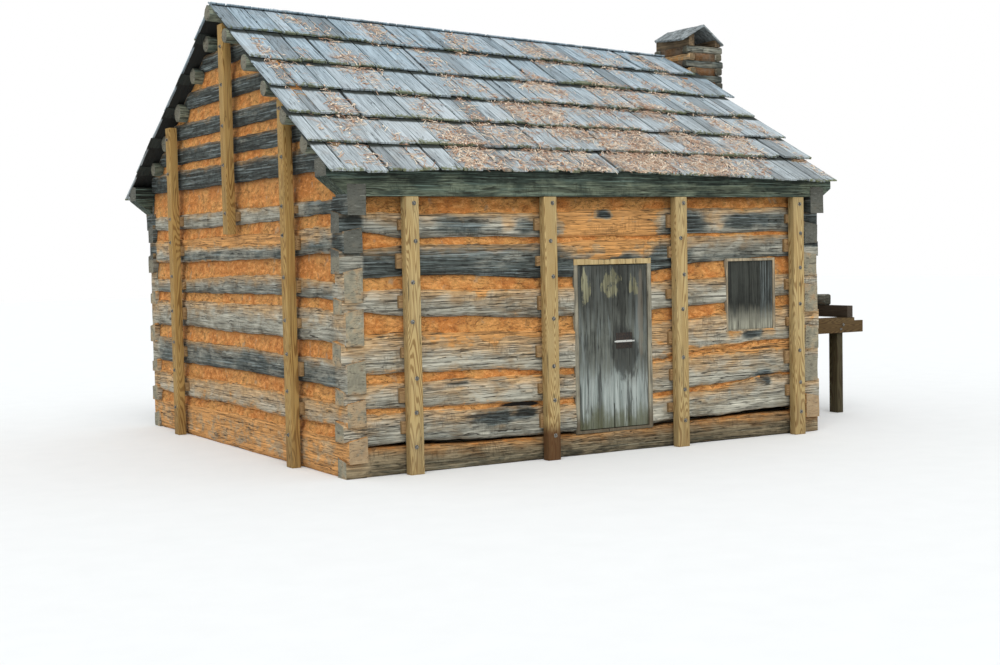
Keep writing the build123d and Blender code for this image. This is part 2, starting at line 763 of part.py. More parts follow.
def main():
    nodes = {}

    fronts = wall_logs(front, FRONT_AT, FRONT_LOGS, INNER_W, LEFT_BANDS, RIGHT_BANDS, 0)
    door_hole = wall_block(front, DOOR_LEFT, DOOR_RIGHT, -200, LOG + 200, DOOR_SILL, DOOR_HEAD)
    window_hole = wall_block(front, WIN_LEFT, WIN_RIGHT, -200, LOG + 200, WIN_SILL, WIN_HEAD)
    nodes["front_sill_log"] = [fronts[0]]
    split = cut_all(fronts[1:5], door_hole, window_hole)
    nodes["front_logs_left"] = keep(split, -WIDTH, DOOR_LEFT)
    nodes["front_logs_right"] = keep(split, DOOR_RIGHT, WIDTH)
    nodes["front_logs_over"] = cut_all(fronts[5:], door_hole, window_hole)
    nodes["back_logs"] = wall_logs(back, FRONT_AT, FRONT_LOGS, INNER_W, LEFT_BANDS, RIGHT_BANDS, 0)
    lefts = wall_logs(left, SIDE_AT, SIDE_LOGS, INNER_D, LEFT_BANDS, LEFT_BANDS, 1)
    raised = right_logs(SIDE_LOGS)
    rights = wall_logs(right, SIDE_AT, raised, INNER_D, RIGHT_BANDS, RIGHT_BANDS, 1)
    hearth = block(HALF_W - LOG - 1, HALF_W + 60, -FIREBOX[2], FIREBOX[2], FLOOR_Z, HEARTH_HEAD)
    nodes["right_logs_low"] = cut_all(rights[:2], hearth)
    right_over = cut_all(rights[2:], hearth)

    clay = cut_all(chinks(front, FRONT_AT, FRONT_LOGS, 1), door_hole, window_hole)
    nodes["front_clay_left"] = keep(clay, -WIDTH, DOOR_LEFT)
    nodes["front_clay_right"] = keep(clay, DOOR_RIGHT, WIDTH)
    nodes["front_clay_over"] = keep(clay, DOOR_LEFT + 1, DOOR_RIGHT - 1)
    nodes["back_clay"] = chinks(back, FRONT_AT, FRONT_LOGS, 1)
    left_clay = chinks(left, SIDE_AT, SIDE_LOGS, 0)
    right_clay = chinks(right, SIDE_AT, raised, 0)
    nodes["right_clay_low"] = cut_all(right_clay[:2], hearth)

    nodes["roof_front"] = [roof_slope(-1)]
    nodes["roof_back"] = [roof_slope(1)]
    nodes["ridge_pole"] = [ridge_pole()]
    nodes["purlins_front"] = [purlin(-1, POLE_LEFT, out * HALF_D, size) for out, size in FRONT_PURLINS]
    nodes["purlins_back"] = [purlin(1, BACK_POLE_LEFT, out * HALF_D, size) for out, size in BACK_PURLINS]
    for side, name in ((-1, "eave_log_front"), (1, "eave_log_back")):
        seats = [plate_seat(place, side, PLATE_Z - 1, PLATE_Z + PLATE_NOTCH) for place in (left, right)]
        nodes[name] = eave_log(side, seats)
    timbers = nodes["ridge_pole"] + nodes["purlins_front"] + nodes["purlins_back"]
    timbers += nodes["roof_front"] + nodes["roof_back"]
    space = attic()
    peak_logs, peak_clay = gable_peak(left, timbers, space, PEAK_TOP_LEFT)
    nodes["left_logs"] = lefts + peak_logs
    nodes["left_clay"] = left_clay[:-1] + [left_clay[-1] + peak_clay[0]] + peak_clay[1:]
    peak_logs, peak_clay = gable_peak(right, timbers, space, PEAK_TOP_RIGHT)
    nodes["right_logs_over"] = right_over + peak_logs
    nodes["right_clay_over"] = right_clay[2:-1] + [right_clay[-1] + peak_clay[0]] + peak_clay[1:]

    nodes["floor"] = [plank_floor()]

    nodes["door_frame"] = [door_frame()]
    nodes["door_leaf"] = [door_leaf()]
    nodes["door_ironwork"] = door_straps() + [door_hasp()]
    nodes["hinge_pintles"] = hinge_pintles()
    nodes["window_frame"] = [window_frame()]
    nodes["window_shutter"] = [window_shutter()]

    nodes["front_posts"] = front_posts(front)
    nodes["back_posts"] = front_posts(back)
    nodes["left_posts"] = side_posts(left, SIDE_POST_Y, SIDE_POST_FOOT, SIDE_POST_TOP)
    tops = (RIGHT_POST_TOP, RIGHT_POST_TOP)
    nodes["right_posts"] = side_posts(right, RIGHT_POST_Y, (0, 0), tops)
    blocks = spacers(front, FRONT_AT, FRONT_LOGS, FRONT_POST_X, (0, 0, 0, 0))
    blocks += spacers(back, FRONT_AT, FRONT_LOGS, FRONT_POST_X, (0, 0, 0, 0))
    blocks += spacers(left, SIDE_AT, SIDE_LOGS, SIDE_POST_Y, SIDE_POST_FOOT)
    blocks += spacers(right, SIDE_AT, raised, RIGHT_POST_Y, (0, 0))
    nodes["spacer_blocks"] = blocks

    poles, top = chimney_poles()
    nodes["chimney_poles_front"] = poles["front"]
    nodes["chimney_poles_back"] = poles["back"]
    sills = chimney_mudsills()
    nodes["chimney_poles_left"] = poles["left"] + sills[:1]
    nodes["chimney_poles_right"] = poles["right"] + sills[1:]
    nodes["chimney_clay"] = [chimney_clay(poles, top) + chimney_throat()]
    nodes["chimney_firebox"] = [firebox()]
    nodes["chimney_footing"] = [footing()]
    cap = chimney_cap()
    for bearer in cap_bearers(top):
        cap = cap + bearer
    nodes["chimney_cap"] = [cap]

    posts, headers, plates, needles = shoring()
    nodes["shore_posts"] = posts
    nodes["shore_rails"] = [header + plate for header, plate in zip(headers, plates)]
    nodes["shore_needles"] = needles

    centre_x = (min(COURSE_LEFT) + SHORE_END) / 2
    for name, solids in nodes.items():
        whole = [s for piece in solids for s in piece.solids()]
        moved = [s.moved(Location((-centre_x, 0, 0))) for s in whole]
        shape = moved[0] if len(moved) == 1 else Compound(children=moved)
        shape.label = name
        export_step(shape, f"parts/{name}.step")


main()
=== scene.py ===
"""Looks of a hewn log cabin: weathered logs, clay chinking, riven shakes, bracing posts and chimney."""

import math
import random

import bmesh
import bpy
from bpy.props import FloatProperty, FloatVectorProperty, IntProperty, PointerProperty
from mathutils import Matrix, Vector, noise


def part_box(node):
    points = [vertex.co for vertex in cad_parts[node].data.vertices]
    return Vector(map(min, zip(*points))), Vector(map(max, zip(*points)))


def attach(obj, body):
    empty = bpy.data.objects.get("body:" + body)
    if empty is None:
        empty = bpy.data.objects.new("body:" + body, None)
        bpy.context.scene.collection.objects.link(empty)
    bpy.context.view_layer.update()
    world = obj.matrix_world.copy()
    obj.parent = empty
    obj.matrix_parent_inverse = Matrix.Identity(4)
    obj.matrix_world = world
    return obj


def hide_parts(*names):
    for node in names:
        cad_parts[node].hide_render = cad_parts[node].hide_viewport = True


bl_info = {
    "name": "Hewn log cabin",
    "version": (1, 0, 0),
    "blender": (4, 5, 0),
    "location": "3D View > Sidebar > Log cabin",
    "description": "Dresses the log cabin's solids with hewn wood, clay, shakes, stones and ironwork",
    "category": "Object",
}

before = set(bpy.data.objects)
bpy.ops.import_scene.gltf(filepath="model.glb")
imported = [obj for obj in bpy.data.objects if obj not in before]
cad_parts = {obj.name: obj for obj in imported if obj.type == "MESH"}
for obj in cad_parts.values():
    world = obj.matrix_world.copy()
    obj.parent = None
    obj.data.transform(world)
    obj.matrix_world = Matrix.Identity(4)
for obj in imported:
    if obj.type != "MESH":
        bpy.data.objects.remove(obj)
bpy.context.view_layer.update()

# Lengths are in metres, and places along the front wall are counted from the middle of the walls
MID_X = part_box("door_frame")[0].x + 0.334
HALF_W = 2.777
HALF_D = 2.728
CORNER = 0.20

# Bracing posts: how far their faces stand off, their width, left edges along the front and back, and bolts
POST_FACE = 0.127
POST_WIDTH = 0.14
POSTS = (-2.214, -0.741, 0.813, 2.362)
POST_BOLTS = (0.25, 0.56, 0.89, 1.37, 1.75, 2.11, 2.45)

# Posts on the gables: side, near edge, foot and head, and the heights of their bolts
GABLE_POSTS = (
    (-1, -1.756, 0, 3.47),
    (-1, -0.230, 2.24, 4.37),
    (-1, 1.530, 0, 3.46),
    (1, -1.756, 0, 3.30),
    (1, 1.616, 0, 3.30),
)
GABLE_BOLTS = (0.34, 0.72, 1.07, 1.42, 1.80, 2.20, 2.45, 2.95, 3.35, 3.75, 4.15)

# Bolts at the corners of the shoring: place along the wall and height, and the face they stand on
SHORE_BOLTS = ((2.985, 1.05), (3.02, 1.0), (4.18, 1.0), (4.22, 1.05))
SHORE_FACE = 1.638

# Thickness of a washer and height of the bolt's head on it
WASHER_THICK = 0.004
BOLT_HEAD = 0.013

# The slopes: their two ends, heights of ridge and eave at each end, reach in plan and length up the slope
ROOF_LEFT, ROOF_RIGHT = -2.97, 2.8
RIDGE_LEFT, RIDGE_RIGHT = 4.63, 4.378
EAVE_LEFT, EAVE_RIGHT = 2.708, 2.671
EAVE_Y = 3.046
SLOPE = 3.6

# Courses of shakes, lowest first: how far up they start, their two ends, and where the last ends at the ridge
COURSES = (0.006, 0.169, 0.321, 0.478, 0.642, 0.829)
COURSE_LEFT = (-2.986, -2.984, -2.964, -2.950, -2.936, -2.942)
COURSE_RIGHT = (2.84, 2.94, 2.97, 2.96, 3.072, 2.95)
LAST_COURSE = len(COURSES) - 1
TOP_RIGHT = 2.85

# How far a shake runs on under the next course, and the width of the strips that close the gaps
SHAKE_LAP = 0.15
UNDERLAY_WIDTH = 0.30

# Drifts of dead leaves on the front slope: middle, share of the way up, half width and height, amount
LEAF_DRIFTS = (
    (-1.25, 0.10, 0.45, 0.13, 0.34),
    (-0.35, 0.09, 0.50, 0.12, 0.42),
    (0.55, 0.13, 0.60, 0.15, 0.46),
    (1.35, 0.10, 0.45, 0.12, 0.42),
    (-0.95, 0.26, 0.50, 0.10, 0.34),
    (0.45, 0.27, 0.70, 0.10, 0.46),
    (1.55, 0.26, 0.60, 0.12, 0.36),
    (2.35, 0.24, 0.25, 0.08, 0.22),
    (0.05, 0.43, 0.60, 0.08, 0.36),
    (1.25, 0.45, 0.70, 0.09, 0.38),
    (0.35, 0.60, 0.45, 0.07, 0.28),
    (1.45, 0.62, 0.60, 0.07, 0.26),
)

# How far the leaves reach along the front slope, and the share of them that is broad and not a needle
LEAF_REACH = 2.8
BROAD_SHARE = 0.13

# Steps along and up into which logs and clay are cut before they are roughened, the front wall's finer
LOG_STEP, LOG_RISE = 0.07, 0.045
FRONT_STEP = 0.05
CLAY_STEP, CLAY_RISE = 0.06, 0.05

# Clay packed over the back sill: length, depth and height, and where its middle lies
PACKED_SIZE = (5.2, 0.08, 0.16)
PACKED_Y = HALF_D - 0.11
PACKED_Z = 0.255

# Chimney cap: its ridge, half its depth, and the feet of its slopes with how much shorter each is at the back
CAP_RIDGE = Vector((3.195, 0, 4.706))
CAP_HALF = 0.365
CAP_FEET = ((Vector((2.850, 0, 4.515)), 0.16), (Vector((3.500, 0, 4.474)), 0.0))

# Blocks of the chimney that are faced with stones: left and right end, half the depth, foot and top
FOOTING = (2.837, 4.1, 1.0, 0.0, 0.6)
FIREBOX = (2.95, 3.95, 0.85, 0.62, 1.24)

# Heights of the middles of the logs, lowest first, and how dark and how clay-stained each is
LOG_MIDDLES = (0.13, 0.45, 0.78, 1.20, 1.62, 1.98, 2.32)
FRONT_WEAR = (
    (0.60, 0.25),
    (0.46, 0.35),
    (0.30, 0.42),
    (0.24, 0.42),
    (0.36, 0.34),
    (0.92, 0.12),
    (0.50, 0.34),
)
GABLE_WEAR = (
    (0.22, 0.84),
    (0.16, 0.58),
    (0.74, 0.14),
    (0.40, 0.32),
    (0.62, 0.34),
    (0.36, 0.56),
    (0.40, 0.22),
)

# Logs whose middles lie higher than this are the peaks' of the gables, and are all alike
PEAK_FOOT = 2.62
PEAK_WEAR = (1.02, 0.08)

# The corners are dark above this height and pale below it
CORNER_DARK = 2.0

# Stains on the front wall: middle along the wall and height, half width and half height, darker, more clay
FRONT_STAINS = (
    (0.10, 2.20, 0.66, 0.34, -0.24, 0.9),
    (0.02, 2.345, 0.12, 0.05, 1.0, -1.5),
    (1.70, 1.98, 1.05, 0.16, -0.38, 0.12),
    (-1.60, 2.26, 0.30, 0.10, 0.35, -0.3),
    (-0.78, 2.25, 0.22, 0.10, 0.35, -0.2),
    (-1.06, 2.26, 0.07, 0.12, -0.4, 0.35),
    (1.06, 2.26, 0.30, 0.13, 0.5, -0.6),
    (1.95, 2.28, 0.45, 0.08, 0.45, -0.4),
    (1.40, 2.26, 0.12, 0.10, -0.4, 0.35),
    (-1.15, 0.47, 0.38, 0.10, 0.7, -0.4),
    (1.90, 1.11, 0.17, 0.06, 0.9, -0.6),
    (1.60, 0.95, 0.85, 0.06, -0.3, 0.7),
    (2.02, 0.62, 0.13, 0.08, 0.8, -0.4),
    (-1.25, 1.18, 1.10, 0.07, -0.2, 0.4),
    (-1.37, 1.63, 0.06, 0.05, -0.2, 0.9),
    (-1.65, 0.80, 0.16, 0.05, 0.5, -0.3),
    (-1.22, 0.78, 0.13, 0.05, 0.5, -0.3),
    (0.75, 1.05, 0.30, 0.20, -0.3, 0.3),
    (1.20, 0.35, 1.60, 0.16, -0.2, -0.1),
)

# Stains on the gables, in the same order
GABLE_STAINS = (
    (0.0, 2.16, 2.60, 0.07, -0.2, 0.5),
    (0.0, 2.02, 2.60, 0.05, 0.3, -0.5),
    (-0.5, 0.95, 0.40, 0.12, 0.2, -0.2),
    (-2.2, 2.42, 0.50, 0.12, 0.4, -0.3),
    (-2.2, 2.15, 0.45, 0.12, 0.4, -0.4),
)

# Spots, each a middle, height, half width and height: olive patches near the head of the door, a brown streak
# on it, the dark round its hasp, and the joint over the sill where no clay is left, painted black as the
# shade in it
DOOR_PATCHES = ((-0.20, 1.62, 0.06, 0.16), (0.10, 1.68, 0.12, 0.14), (0.38, 1.64, 0.06, 0.10))
DOOR_STREAK = (0.46, 1.35, 0.035, 0.48)
HASP_STAIN = (0.27, 0.98, 0.17, 0.30)
BARE_JOINT = (-0.96, 0.545, 0.26, 0.030)

# Seams between planks, foot of the door's head board, the hasp's bright bar and width of a floor board
DOOR_SEAMS = (-0.146, 0.123, 0.396)
SHUTTER_SEAMS = (1.720, 1.868, 2.014)
HEAD_BOARD = 1.853
HASP_BAR = (1.081, 1.099)
FLOOR_BOARD = 0.2

# The photograph's camera: place, focal length for a frame 36 mm wide, and its turn in degrees
CAMERA_PLACE = (-9.0478, -14.6821, 1.9934)
CAMERA_LENS = 53.318
CAMERA_YAW, CAMERA_PITCH, CAMERA_ROLL = 30.689, -3.1025, -1.1616

# The sun: where its light goes, its strength and its width in degrees, and half the width of the ground
SUN_WAY = (0.35, 0.75, -0.95)
SUN_STRENGTH = 1.7
SUN_WIDTH = 50
GROUND_HALF = 60


def length_setting(name, description, default, least=0.0):
    """A length that a user may change."""
    return FloatProperty(name=name, description=description, default=default, min=least, unit="LENGTH")


def colour_setting(name, description, default):
    """A colour that a user may change."""
    return FloatVectorProperty(name=name, description=description, default=default, subtype="COLOR")


class CabinSizes(bpy.types.PropertyGroup):
    """Sizes of what is laid over the solids."""

    shake_width: length_setting("Shake width", "Mean width of a riven shake", 0.16, 0.06)
    shake_gap: length_setting("Shake gap", "Gap between two shakes", 0.011, 0.001)
    hewing: length_setting("Hewing", "Depth of the hollows left by the axe", 0.006)
    lumps: length_setting("Clay lumps", "Height of the lumps in the clay", 0.009)
    bolt_radius: length_setting("Washer radius", "Radius of a washer", 0.021)
    stone_length: length_setting("Stone length", "Mean length of a fieldstone", 0.26, 0.1)
    leaves: IntProperty(name="Leaves", description="Dead leaves on the front slope", default=8000, min=1)


class CabinColours(bpy.types.PropertyGroup):
    """Main colours of the finishes."""

    pale_wood: colour_setting("Pale wood", "Weathered face of a log", (0.49, 0.465, 0.375))
    dark_wood: colour_setting("Dark wood", "Blackened face of a log", (0.062, 0.080, 0.077))
    clay: colour_setting("Clay", "Dry chinking", (0.61, 0.285, 0.082))
    timber: colour_setting("Timber", "Sawn bracing posts", (0.44, 0.315, 0.135))
    shake: colour_setting("Shake", "Weathered shakes", (0.42, 0.468, 0.485))
    leaf: colour_setting("Leaf", "Dead leaves", (0.57, 0.41, 0.29))
    stone: colour_setting("Stone", "Fieldstone", (0.24, 0.24, 0.19))


class Value:
    """One shader value. Arithmetic on it adds Math nodes."""

    def __init__(self, paint, socket):
        self.paint = paint
        self.socket = socket

    def math(self, operation, first, second=0.0):
        return self.paint.node("ShaderNodeMath", {"operation": operation}, {0: first, 1: second})

    def __add__(self, other):
        return self.math("ADD", self, other)

    def __sub__(self, other):
        return self.math("SUBTRACT", self, other)

    def __rsub__(self, other):
        return self.math("SUBTRACT", other, self)

    def __mul__(self, other):
        return self.math("MULTIPLY", self, other)

    def __truediv__(self, other):
        return self.math("DIVIDE", self, other)

    def __abs__(self):
        return self.math("ABSOLUTE", self)

    def crease(self, wide, fine, middle=0.5):
        """1 in thin lines where the value passes its middle, 0 away from them."""
        return abs(self - middle).between(wide, fine)

    def highest(self, other):
        return self.math("MAXIMUM", self, other)

    def wave(self):
        return self.math("SINE", self)

    def between(self, low, high):
        """0 below low, 1 above high, smooth between them; low may be the larger."""
        settings = {"interpolation_type": "SMOOTHSTEP"}
        return self.paint.node("ShaderNodeMapRange", settings, {0: self, 1: low, 2: high})


class Paint:
    """Builds one finish, or the world's light, out of shader nodes."""

    def __init__(self, name, world=None):
        self.owner = world or bpy.data.materials.new(name)
        self.owner.use_nodes = True
        self.tree = self.owner.node_tree
        self.tree.nodes.clear()
        self.colour = None

    def node(self, kind, settings=None, sockets=None, output=0):
        """Adds a node: its settings first, then the values or links of its sockets."""
        made = self.tree.nodes.new(kind)
        for name, value in (settings or {}).items():
            setattr(made, name, value)
        for key, value in (sockets or {}).items():
            if isinstance(value, Value):
                self.tree.links.new(value.socket, made.inputs[key])
            else:
                made.inputs[key].default_value = value
        return Value(self, made.outputs[output])

    def coords(self, scale=(1, 1, 1), shift=None):
        """Place on the object, stretched by scale and moved by a value."""
        place = self.node("ShaderNodeTexCoord", output="Object")
        place = self.node("ShaderNodeMapping", {}, {"Vector": place, "Scale": scale})
        if shift is None:
            return place
        return self.node("ShaderNodeVectorMath", {"operation": "ADD"}, {0: place, 1: shift})

    def axis(self, index):
        """Place along one axis."""
        place = self.node("ShaderNodeTexCoord", output="Object")
        return self.node("ShaderNodeSeparateXYZ", {}, {0: place}, output=index)

    def noise(self, place, scale, detail=3.0, roughness=0.55, distortion=0.0):
        sockets = {"Vector": place, "Scale": scale, "Detail": detail}
        sockets.update({"Roughness": roughness, "Distortion": distortion})
        return self.node("ShaderNodeTexNoise", {}, sockets)

    def cells(self, place, scale):
        """Distance from the nearest of scattered points."""
        return self.node("ShaderNodeTexVoronoi", {}, {"Vector": place, "Scale": scale}, "Distance")

    def attribute(self, name, part):
        """One of the four numbers that an attribute holds."""
        settings = {"attribute_name": name}
        if part == 3:
            return self.node("ShaderNodeAttribute", settings, output="Alpha")
        colour = self.node("ShaderNodeAttribute", settings, output="Color")
        return self.node("ShaderNodeSeparateColor", {}, {0: colour}, output=part)

    def spot(self, middle, height, wide, tall, ragged):
        """Mask round a place on the front wall, with an edge made ragged by a value."""
        across = (self.axis(0) - (MID_X + middle)) / wide
        up = (self.axis(2) - height) / tall
        return (1.0 - across * across - up * up + ragged).between(0.0, 0.5)

    def mix(self, mask, first, second, how="MIX"):
        """Two colours mixed by a mask, which shows the second where it is 1."""
        sockets = {0: mask, 6: opaque(first), 7: opaque(second)}
        return self.node("ShaderNodeMix", {"data_type": "RGBA", "blend_type": how}, sockets, output=2)

    def lay(self, mask, colour, how="MIX"):
        """Lays one more colour over what is painted so far, where a mask lets it."""
        self.colour = self.mix(mask, self.colour, colour, how)

    def tint(self, amount):
        """Makes what is painted so far lighter or darker by a value."""
        sockets = {0: self.colour, "Scale": amount}
        self.colour = self.node("ShaderNodeVectorMath", {"operation": "SCALE"}, sockets)

    def finish(self, roughness, height=None, depth=0.01, metallic=0.0):
        """The material with what is painted as its colour, and bumps of a height and depth."""
        sockets = {"Base Color": self.colour, "Roughness": roughness, "Metallic": metallic}
        sockets["Specular IOR Level"] = 0.25
        if height is not None:
            bumps = {"Strength": 1.0, "Distance": depth, "Height": height}
            sockets["Normal"] = self.node("ShaderNodeBump", {}, bumps)
        shader = self.node("ShaderNodeBsdfPrincipled", {}, sockets)
        return self.end(shader, "ShaderNodeOutputMaterial")

    def end(self, shader, kind):
        made = self.tree.nodes.new(kind)
        self.tree.links.new(shader.socket, made.inputs["Surface"])
        return self.owner


def opaque(colour):
    """A colour with its fourth part, as a colour socket takes it; a value stays as it is."""
    return colour if isinstance(colour, Value) else (*colour, 1.0)


def sizes():
    return bpy.context.scene.cabin_sizes


def colour(name):
    return tuple(getattr(bpy.context.scene.cabin_colours, name))


def scaled(base, *factors):
    """A colour times one factor, or one for each of its parts."""
    red, green, blue = factors if len(factors) == 3 else factors * 3
    return base[0] * red, base[1] * green, base[2] * blue


def along(axis, run, across):
    """Scale that stretches a pattern along one axis."""
    scale = [across, across, across]
    scale[axis] = run
    return tuple(scale)


def hewn_wood(name, axis, tinge=None):
    """Weathered hewn log: long checks, black patches, washed clay and silver ridges; hew() sets its wear."""
    paint = Paint(name)
    dark = paint.attribute("wear", 0)
    smear = paint.attribute("wear", 1)
    seed = paint.attribute("wear", 2) * 37.0
    part = paint.attribute("wear", 3)
    place = paint.coords(along(axis, 0.8, 1.6), seed)
    grain = paint.coords(along(axis, 0.55, 19.0), seed)
    fine = paint.coords(along(axis, 3.0, 130.0), seed)
    fibre = paint.noise(grain, 2.0, 5.0, 0.66, 0.5)
    thread = paint.noise(fine, 1.0, 3.0, 0.6)
    patch = paint.noise(place, 4.2, 5.0, 0.62, 0.5)
    blotch = paint.noise(place, 14.0, 4.0, 0.65)

    paint.colour = paint.mix(fibre.between(0.34, 0.62), (0.31, 0.30, 0.245), colour("pale_wood"))
    paint.lay(patch.between(0.42, 0.68) * 0.5, (0.43, 0.35, 0.22))
    shade = (dark + (patch - 0.5) * 1.5 + (fibre - 0.5) * 1.1 - (part - 0.5) * 0.25).between(0.18, 1.0)
    paint.lay(shade * 0.95, colour("dark_wood"))
    black = (dark + (blotch - 0.5) * 1.3 + (fibre - 0.5) * 1.6).between(0.75, 1.25)
    paint.lay(black * 0.8, (0.022, 0.024, 0.021))
    ridge = paint.noise(paint.coords(along(axis, 0.8, 40.0), seed), 1.5, 3.0, 0.62, 0.4)
    paint.lay(ridge.between(0.52, 0.66) * shade * 0.5, (0.27, 0.32, 0.32))

    washed = smear * 1.2 + (part - 0.5) * 0.8 + (patch - 0.5) * 1.2 + (fibre - 0.5) * 0.35
    wash_colour = paint.mix(blotch.between(0.3, 0.7), (0.40, 0.215, 0.076), (0.62, 0.395, 0.18))
    paint.lay(washed.between(0.20, 0.95) * 0.78, wash_colour)
    crusted = smear + (blotch - 0.5) + (patch - 0.5) * 1.2 + part.between(0.80, 1.0) * 0.35
    crust = crusted.between(0.72, 0.92)
    paint.lay(crust * 0.8, colour("clay"))

    long = paint.noise(paint.coords(along(axis, 0.38, 19.0), seed + 3.7), 1.7, 2.0, 0.5, 0.5)
    check = long.crease(0.016, 0.004) * paint.noise(place, 2.2, 1.0).between(0.36, 0.52)
    hair = paint.noise(grain, 3.3, 2.0).crease(0.018, 0.003, 0.52) * 0.6
    stroke = paint.noise(paint.coords(along(axis, 30.0, 4.5), seed), 1.0, 2.0, 0.5, 0.4)
    chop = stroke.crease(0.030, 0.006) * paint.noise(place, 3.4, 1.0).between(0.54, 0.64) * 0.3
    split = check.highest(hair).highest(chop)
    paint.lay(split * 0.88, (0.022, 0.018, 0.013))
    paint.tint(((thread - 0.5) * 1.5 + (ridge - 0.5) * 1.6 + 1.04).highest(0.2))
    if tinge:
        paint.lay(1.0, tinge, "MULTIPLY")
    height = fibre * 0.6 + ridge * 0.35 + thread * 0.22 + blotch * 0.3 - split * 1.1 + crust * 0.25
    return paint.finish(0.88, height, 0.013)


def end_grain(name, tinge=(1.0, 1.0, 1.0)):
    """Sawn or axed end of a log: rings and rot, weathered to grey or tan."""
    paint = Paint(name)
    dark = paint.attribute("wear", 0)
    smear = paint.attribute("wear", 1)
    seed = paint.attribute("wear", 2) * 37.0
    place = paint.coords((1, 1, 1), seed)
    wide = paint.noise(place, 3.2, 1.5, 0.5, 0.3)
    ring = (wide * 130.0).wave() * 0.5 + 0.5
    patch = paint.noise(place, 9.0, 4.0, 0.6)
    rough = paint.noise(paint.coords((7, 7, 32), seed), 2.0, 5.0, 0.7, 0.6)
    paint.colour = paint.mix(patch.between(0.35, 0.65), (0.22, 0.205, 0.15), (0.37, 0.335, 0.235))
    paint.lay(ring * 0.16, (0.14, 0.11, 0.07))
    paint.lay((dark * 0.9 + (patch - 0.5) * 0.9).between(0.30, 0.75) * 0.85, (0.085, 0.09, 0.08))
    paint.lay((smear + (patch - 0.5) * 1.8).between(0.38, 0.90) * 0.5, (0.44, 0.25, 0.105))
    paint.lay(rough.between(0.58, 0.72) * 0.55, (0.42, 0.43, 0.36))
    paint.lay(rough.between(0.46, 0.35) * 0.8, (0.05, 0.045, 0.035))
    paint.lay(1.0, tinge, "MULTIPLY")
    return paint.finish(0.9, ring * 0.15 + rough * 0.9 + patch * 0.5, 0.012)


def clay_daub(name, grey=0.0, slot=None, base=None):
    """Crumbly orange clay with straw and pits, darker towards the top of each band as painted shade under the
    log above; raised crumbs lighter and hollows darker, partly painted highlight and shade; grey is how faded
    it is, slot a spot where none is left, painted black as the shade in the open joint.
    """
    paint = Paint(name)
    place = paint.coords()
    broad = paint.noise(place, 3.0, 4.0, 0.6)
    crumb = paint.noise(paint.coords((0.7, 0.7, 1.4)), 15.0, 8.0, 0.76, 0.3)
    pit = paint.noise(place, 85.0, 3.0, 0.6)
    lump = paint.cells(place, 16.0)
    base = base or colour("clay")
    redder, yellower = scaled(base, 0.96, 0.74, 0.58), scaled(base, 1.05, 1.08, 1.10)
    paint.colour = paint.mix(broad.between(0.38, 0.62), redder, yellower)
    # Raised crumbs painted lighter and hollows and pits darker: partly the clay's own mottle, partly painted
    # highlight and shade.
    paint.lay(crumb.between(0.50, 0.60) * 0.75, scaled(base, 1.52, 1.52, 1.65))
    paint.lay(crumb.between(0.47, 0.38) * 0.72, scaled(base, 0.44, 0.31, 0.26))
    paint.lay(pit.between(0.40, 0.30) * 0.4, (0.10, 0.04, 0.015))
    # Painted shade: each band is painted lighter low down and darker towards its top, where the log above
    # shades it.
    under = paint.attribute("wear", 3)
    paint.tint(1.16 - under * 0.26)
    under = (under + (crumb - 0.5) * 0.5).between(0.74, 1.02)
    paint.lay(under * 0.7, (0.12, 0.048, 0.016))
    paint.lay(paint.noise(place, 7.0, 2.0).between(0.62, 0.74) * 0.5, (0.36, 0.31, 0.22))
    straw = paint.noise(paint.coords((60, 60, 9)), 1.0, 2.0, 0.5, 2.5)
    paint.lay(straw.crease(0.012, 0.003) * 0.4, (0.72, 0.52, 0.28))
    crack = paint.noise(paint.coords((1.0, 1.0, 2.6)), 5.0, 4.0, 0.6).crease(0.010, 0.002)
    crack = crack * broad.between(0.44, 0.56)
    paint.lay(crack * 0.6, (0.09, 0.04, 0.018))
    if grey:
        faded = paint.noise(place, 4.0, 5.0, 0.65).between(0.42, 0.62)
        paint.lay(faded * grey, (0.20, 0.17, 0.13))
    # Painted shade: the open joint where no clay is left is painted near black.
    if slot:
        paint.lay(paint.spot(*slot, (crumb - 0.5) * 0.8), (0.012, 0.009, 0.007))
    return paint.finish(0.95, crumb * 1.5 + lump * 0.5 + pit * 0.25 - crack * 0.6, 0.028)


def sawn_timber(name, axis, base=None, foot=0.0, stained=None):
    """Sawn softwood with nested arches of grain; foot is how brown it is low down, most so at one place."""
    paint = Paint(name)
    seed = paint.attribute("wear", 2) * 29.0
    place = paint.coords(along(axis, 0.40, 5.0), seed)
    fine = paint.coords(along(axis, 3.0, 150.0), seed)
    field = paint.noise(place, 1.35, 1.5, 0.45, 0.25)
    ring = (field * 270.0).wave() * 0.5 + 0.5
    thread = paint.noise(fine, 1.0, 3.0)
    broad = paint.noise(paint.coords(along(axis, 1.2, 4.0), seed), 1.5, 3.0)
    pale = base or colour("timber")
    paint.colour = paint.mix(ring.between(0.35, 0.90) * 0.85, pale, scaled(pale, 0.46, 0.36, 0.27))
    paint.lay(broad.between(0.4, 0.75) * 0.4, scaled(pale, 1.05, 1.2, 1.5))
    paint.lay(thread.between(0.5, 0.8) * 0.35, scaled(pale, 1.3, 1.35, 1.5))
    knot = paint.cells(paint.coords(along(axis, 1.0, 2.6), seed), 2.2).between(0.085, 0.03)
    paint.lay(knot * 0.85, scaled(pale, 0.22))
    check = paint.noise(paint.coords(along(axis, 0.6, 22.0), seed), 1.4, 2.0).crease(0.010, 0.003)
    check = check * paint.noise(place, 3.0, 1.0).between(0.5, 0.62)
    paint.lay(check * 0.8, scaled(pale, 0.17))
    if foot:
        height = paint.axis(2) + (thread - 0.5) * 0.16
        brown = height.between(0.40, 0.24) * foot
        if stained is not None:
            brown = brown * (abs(paint.axis(0) - (MID_X + stained)).between(0.14, 0.12) * 0.8 + 0.2)
        paint.lay(brown, (0.078, 0.029, 0.008))
    return paint.finish(0.8, ring * 0.18 + thread * 0.3 - check - knot * 0.3, 0.004)


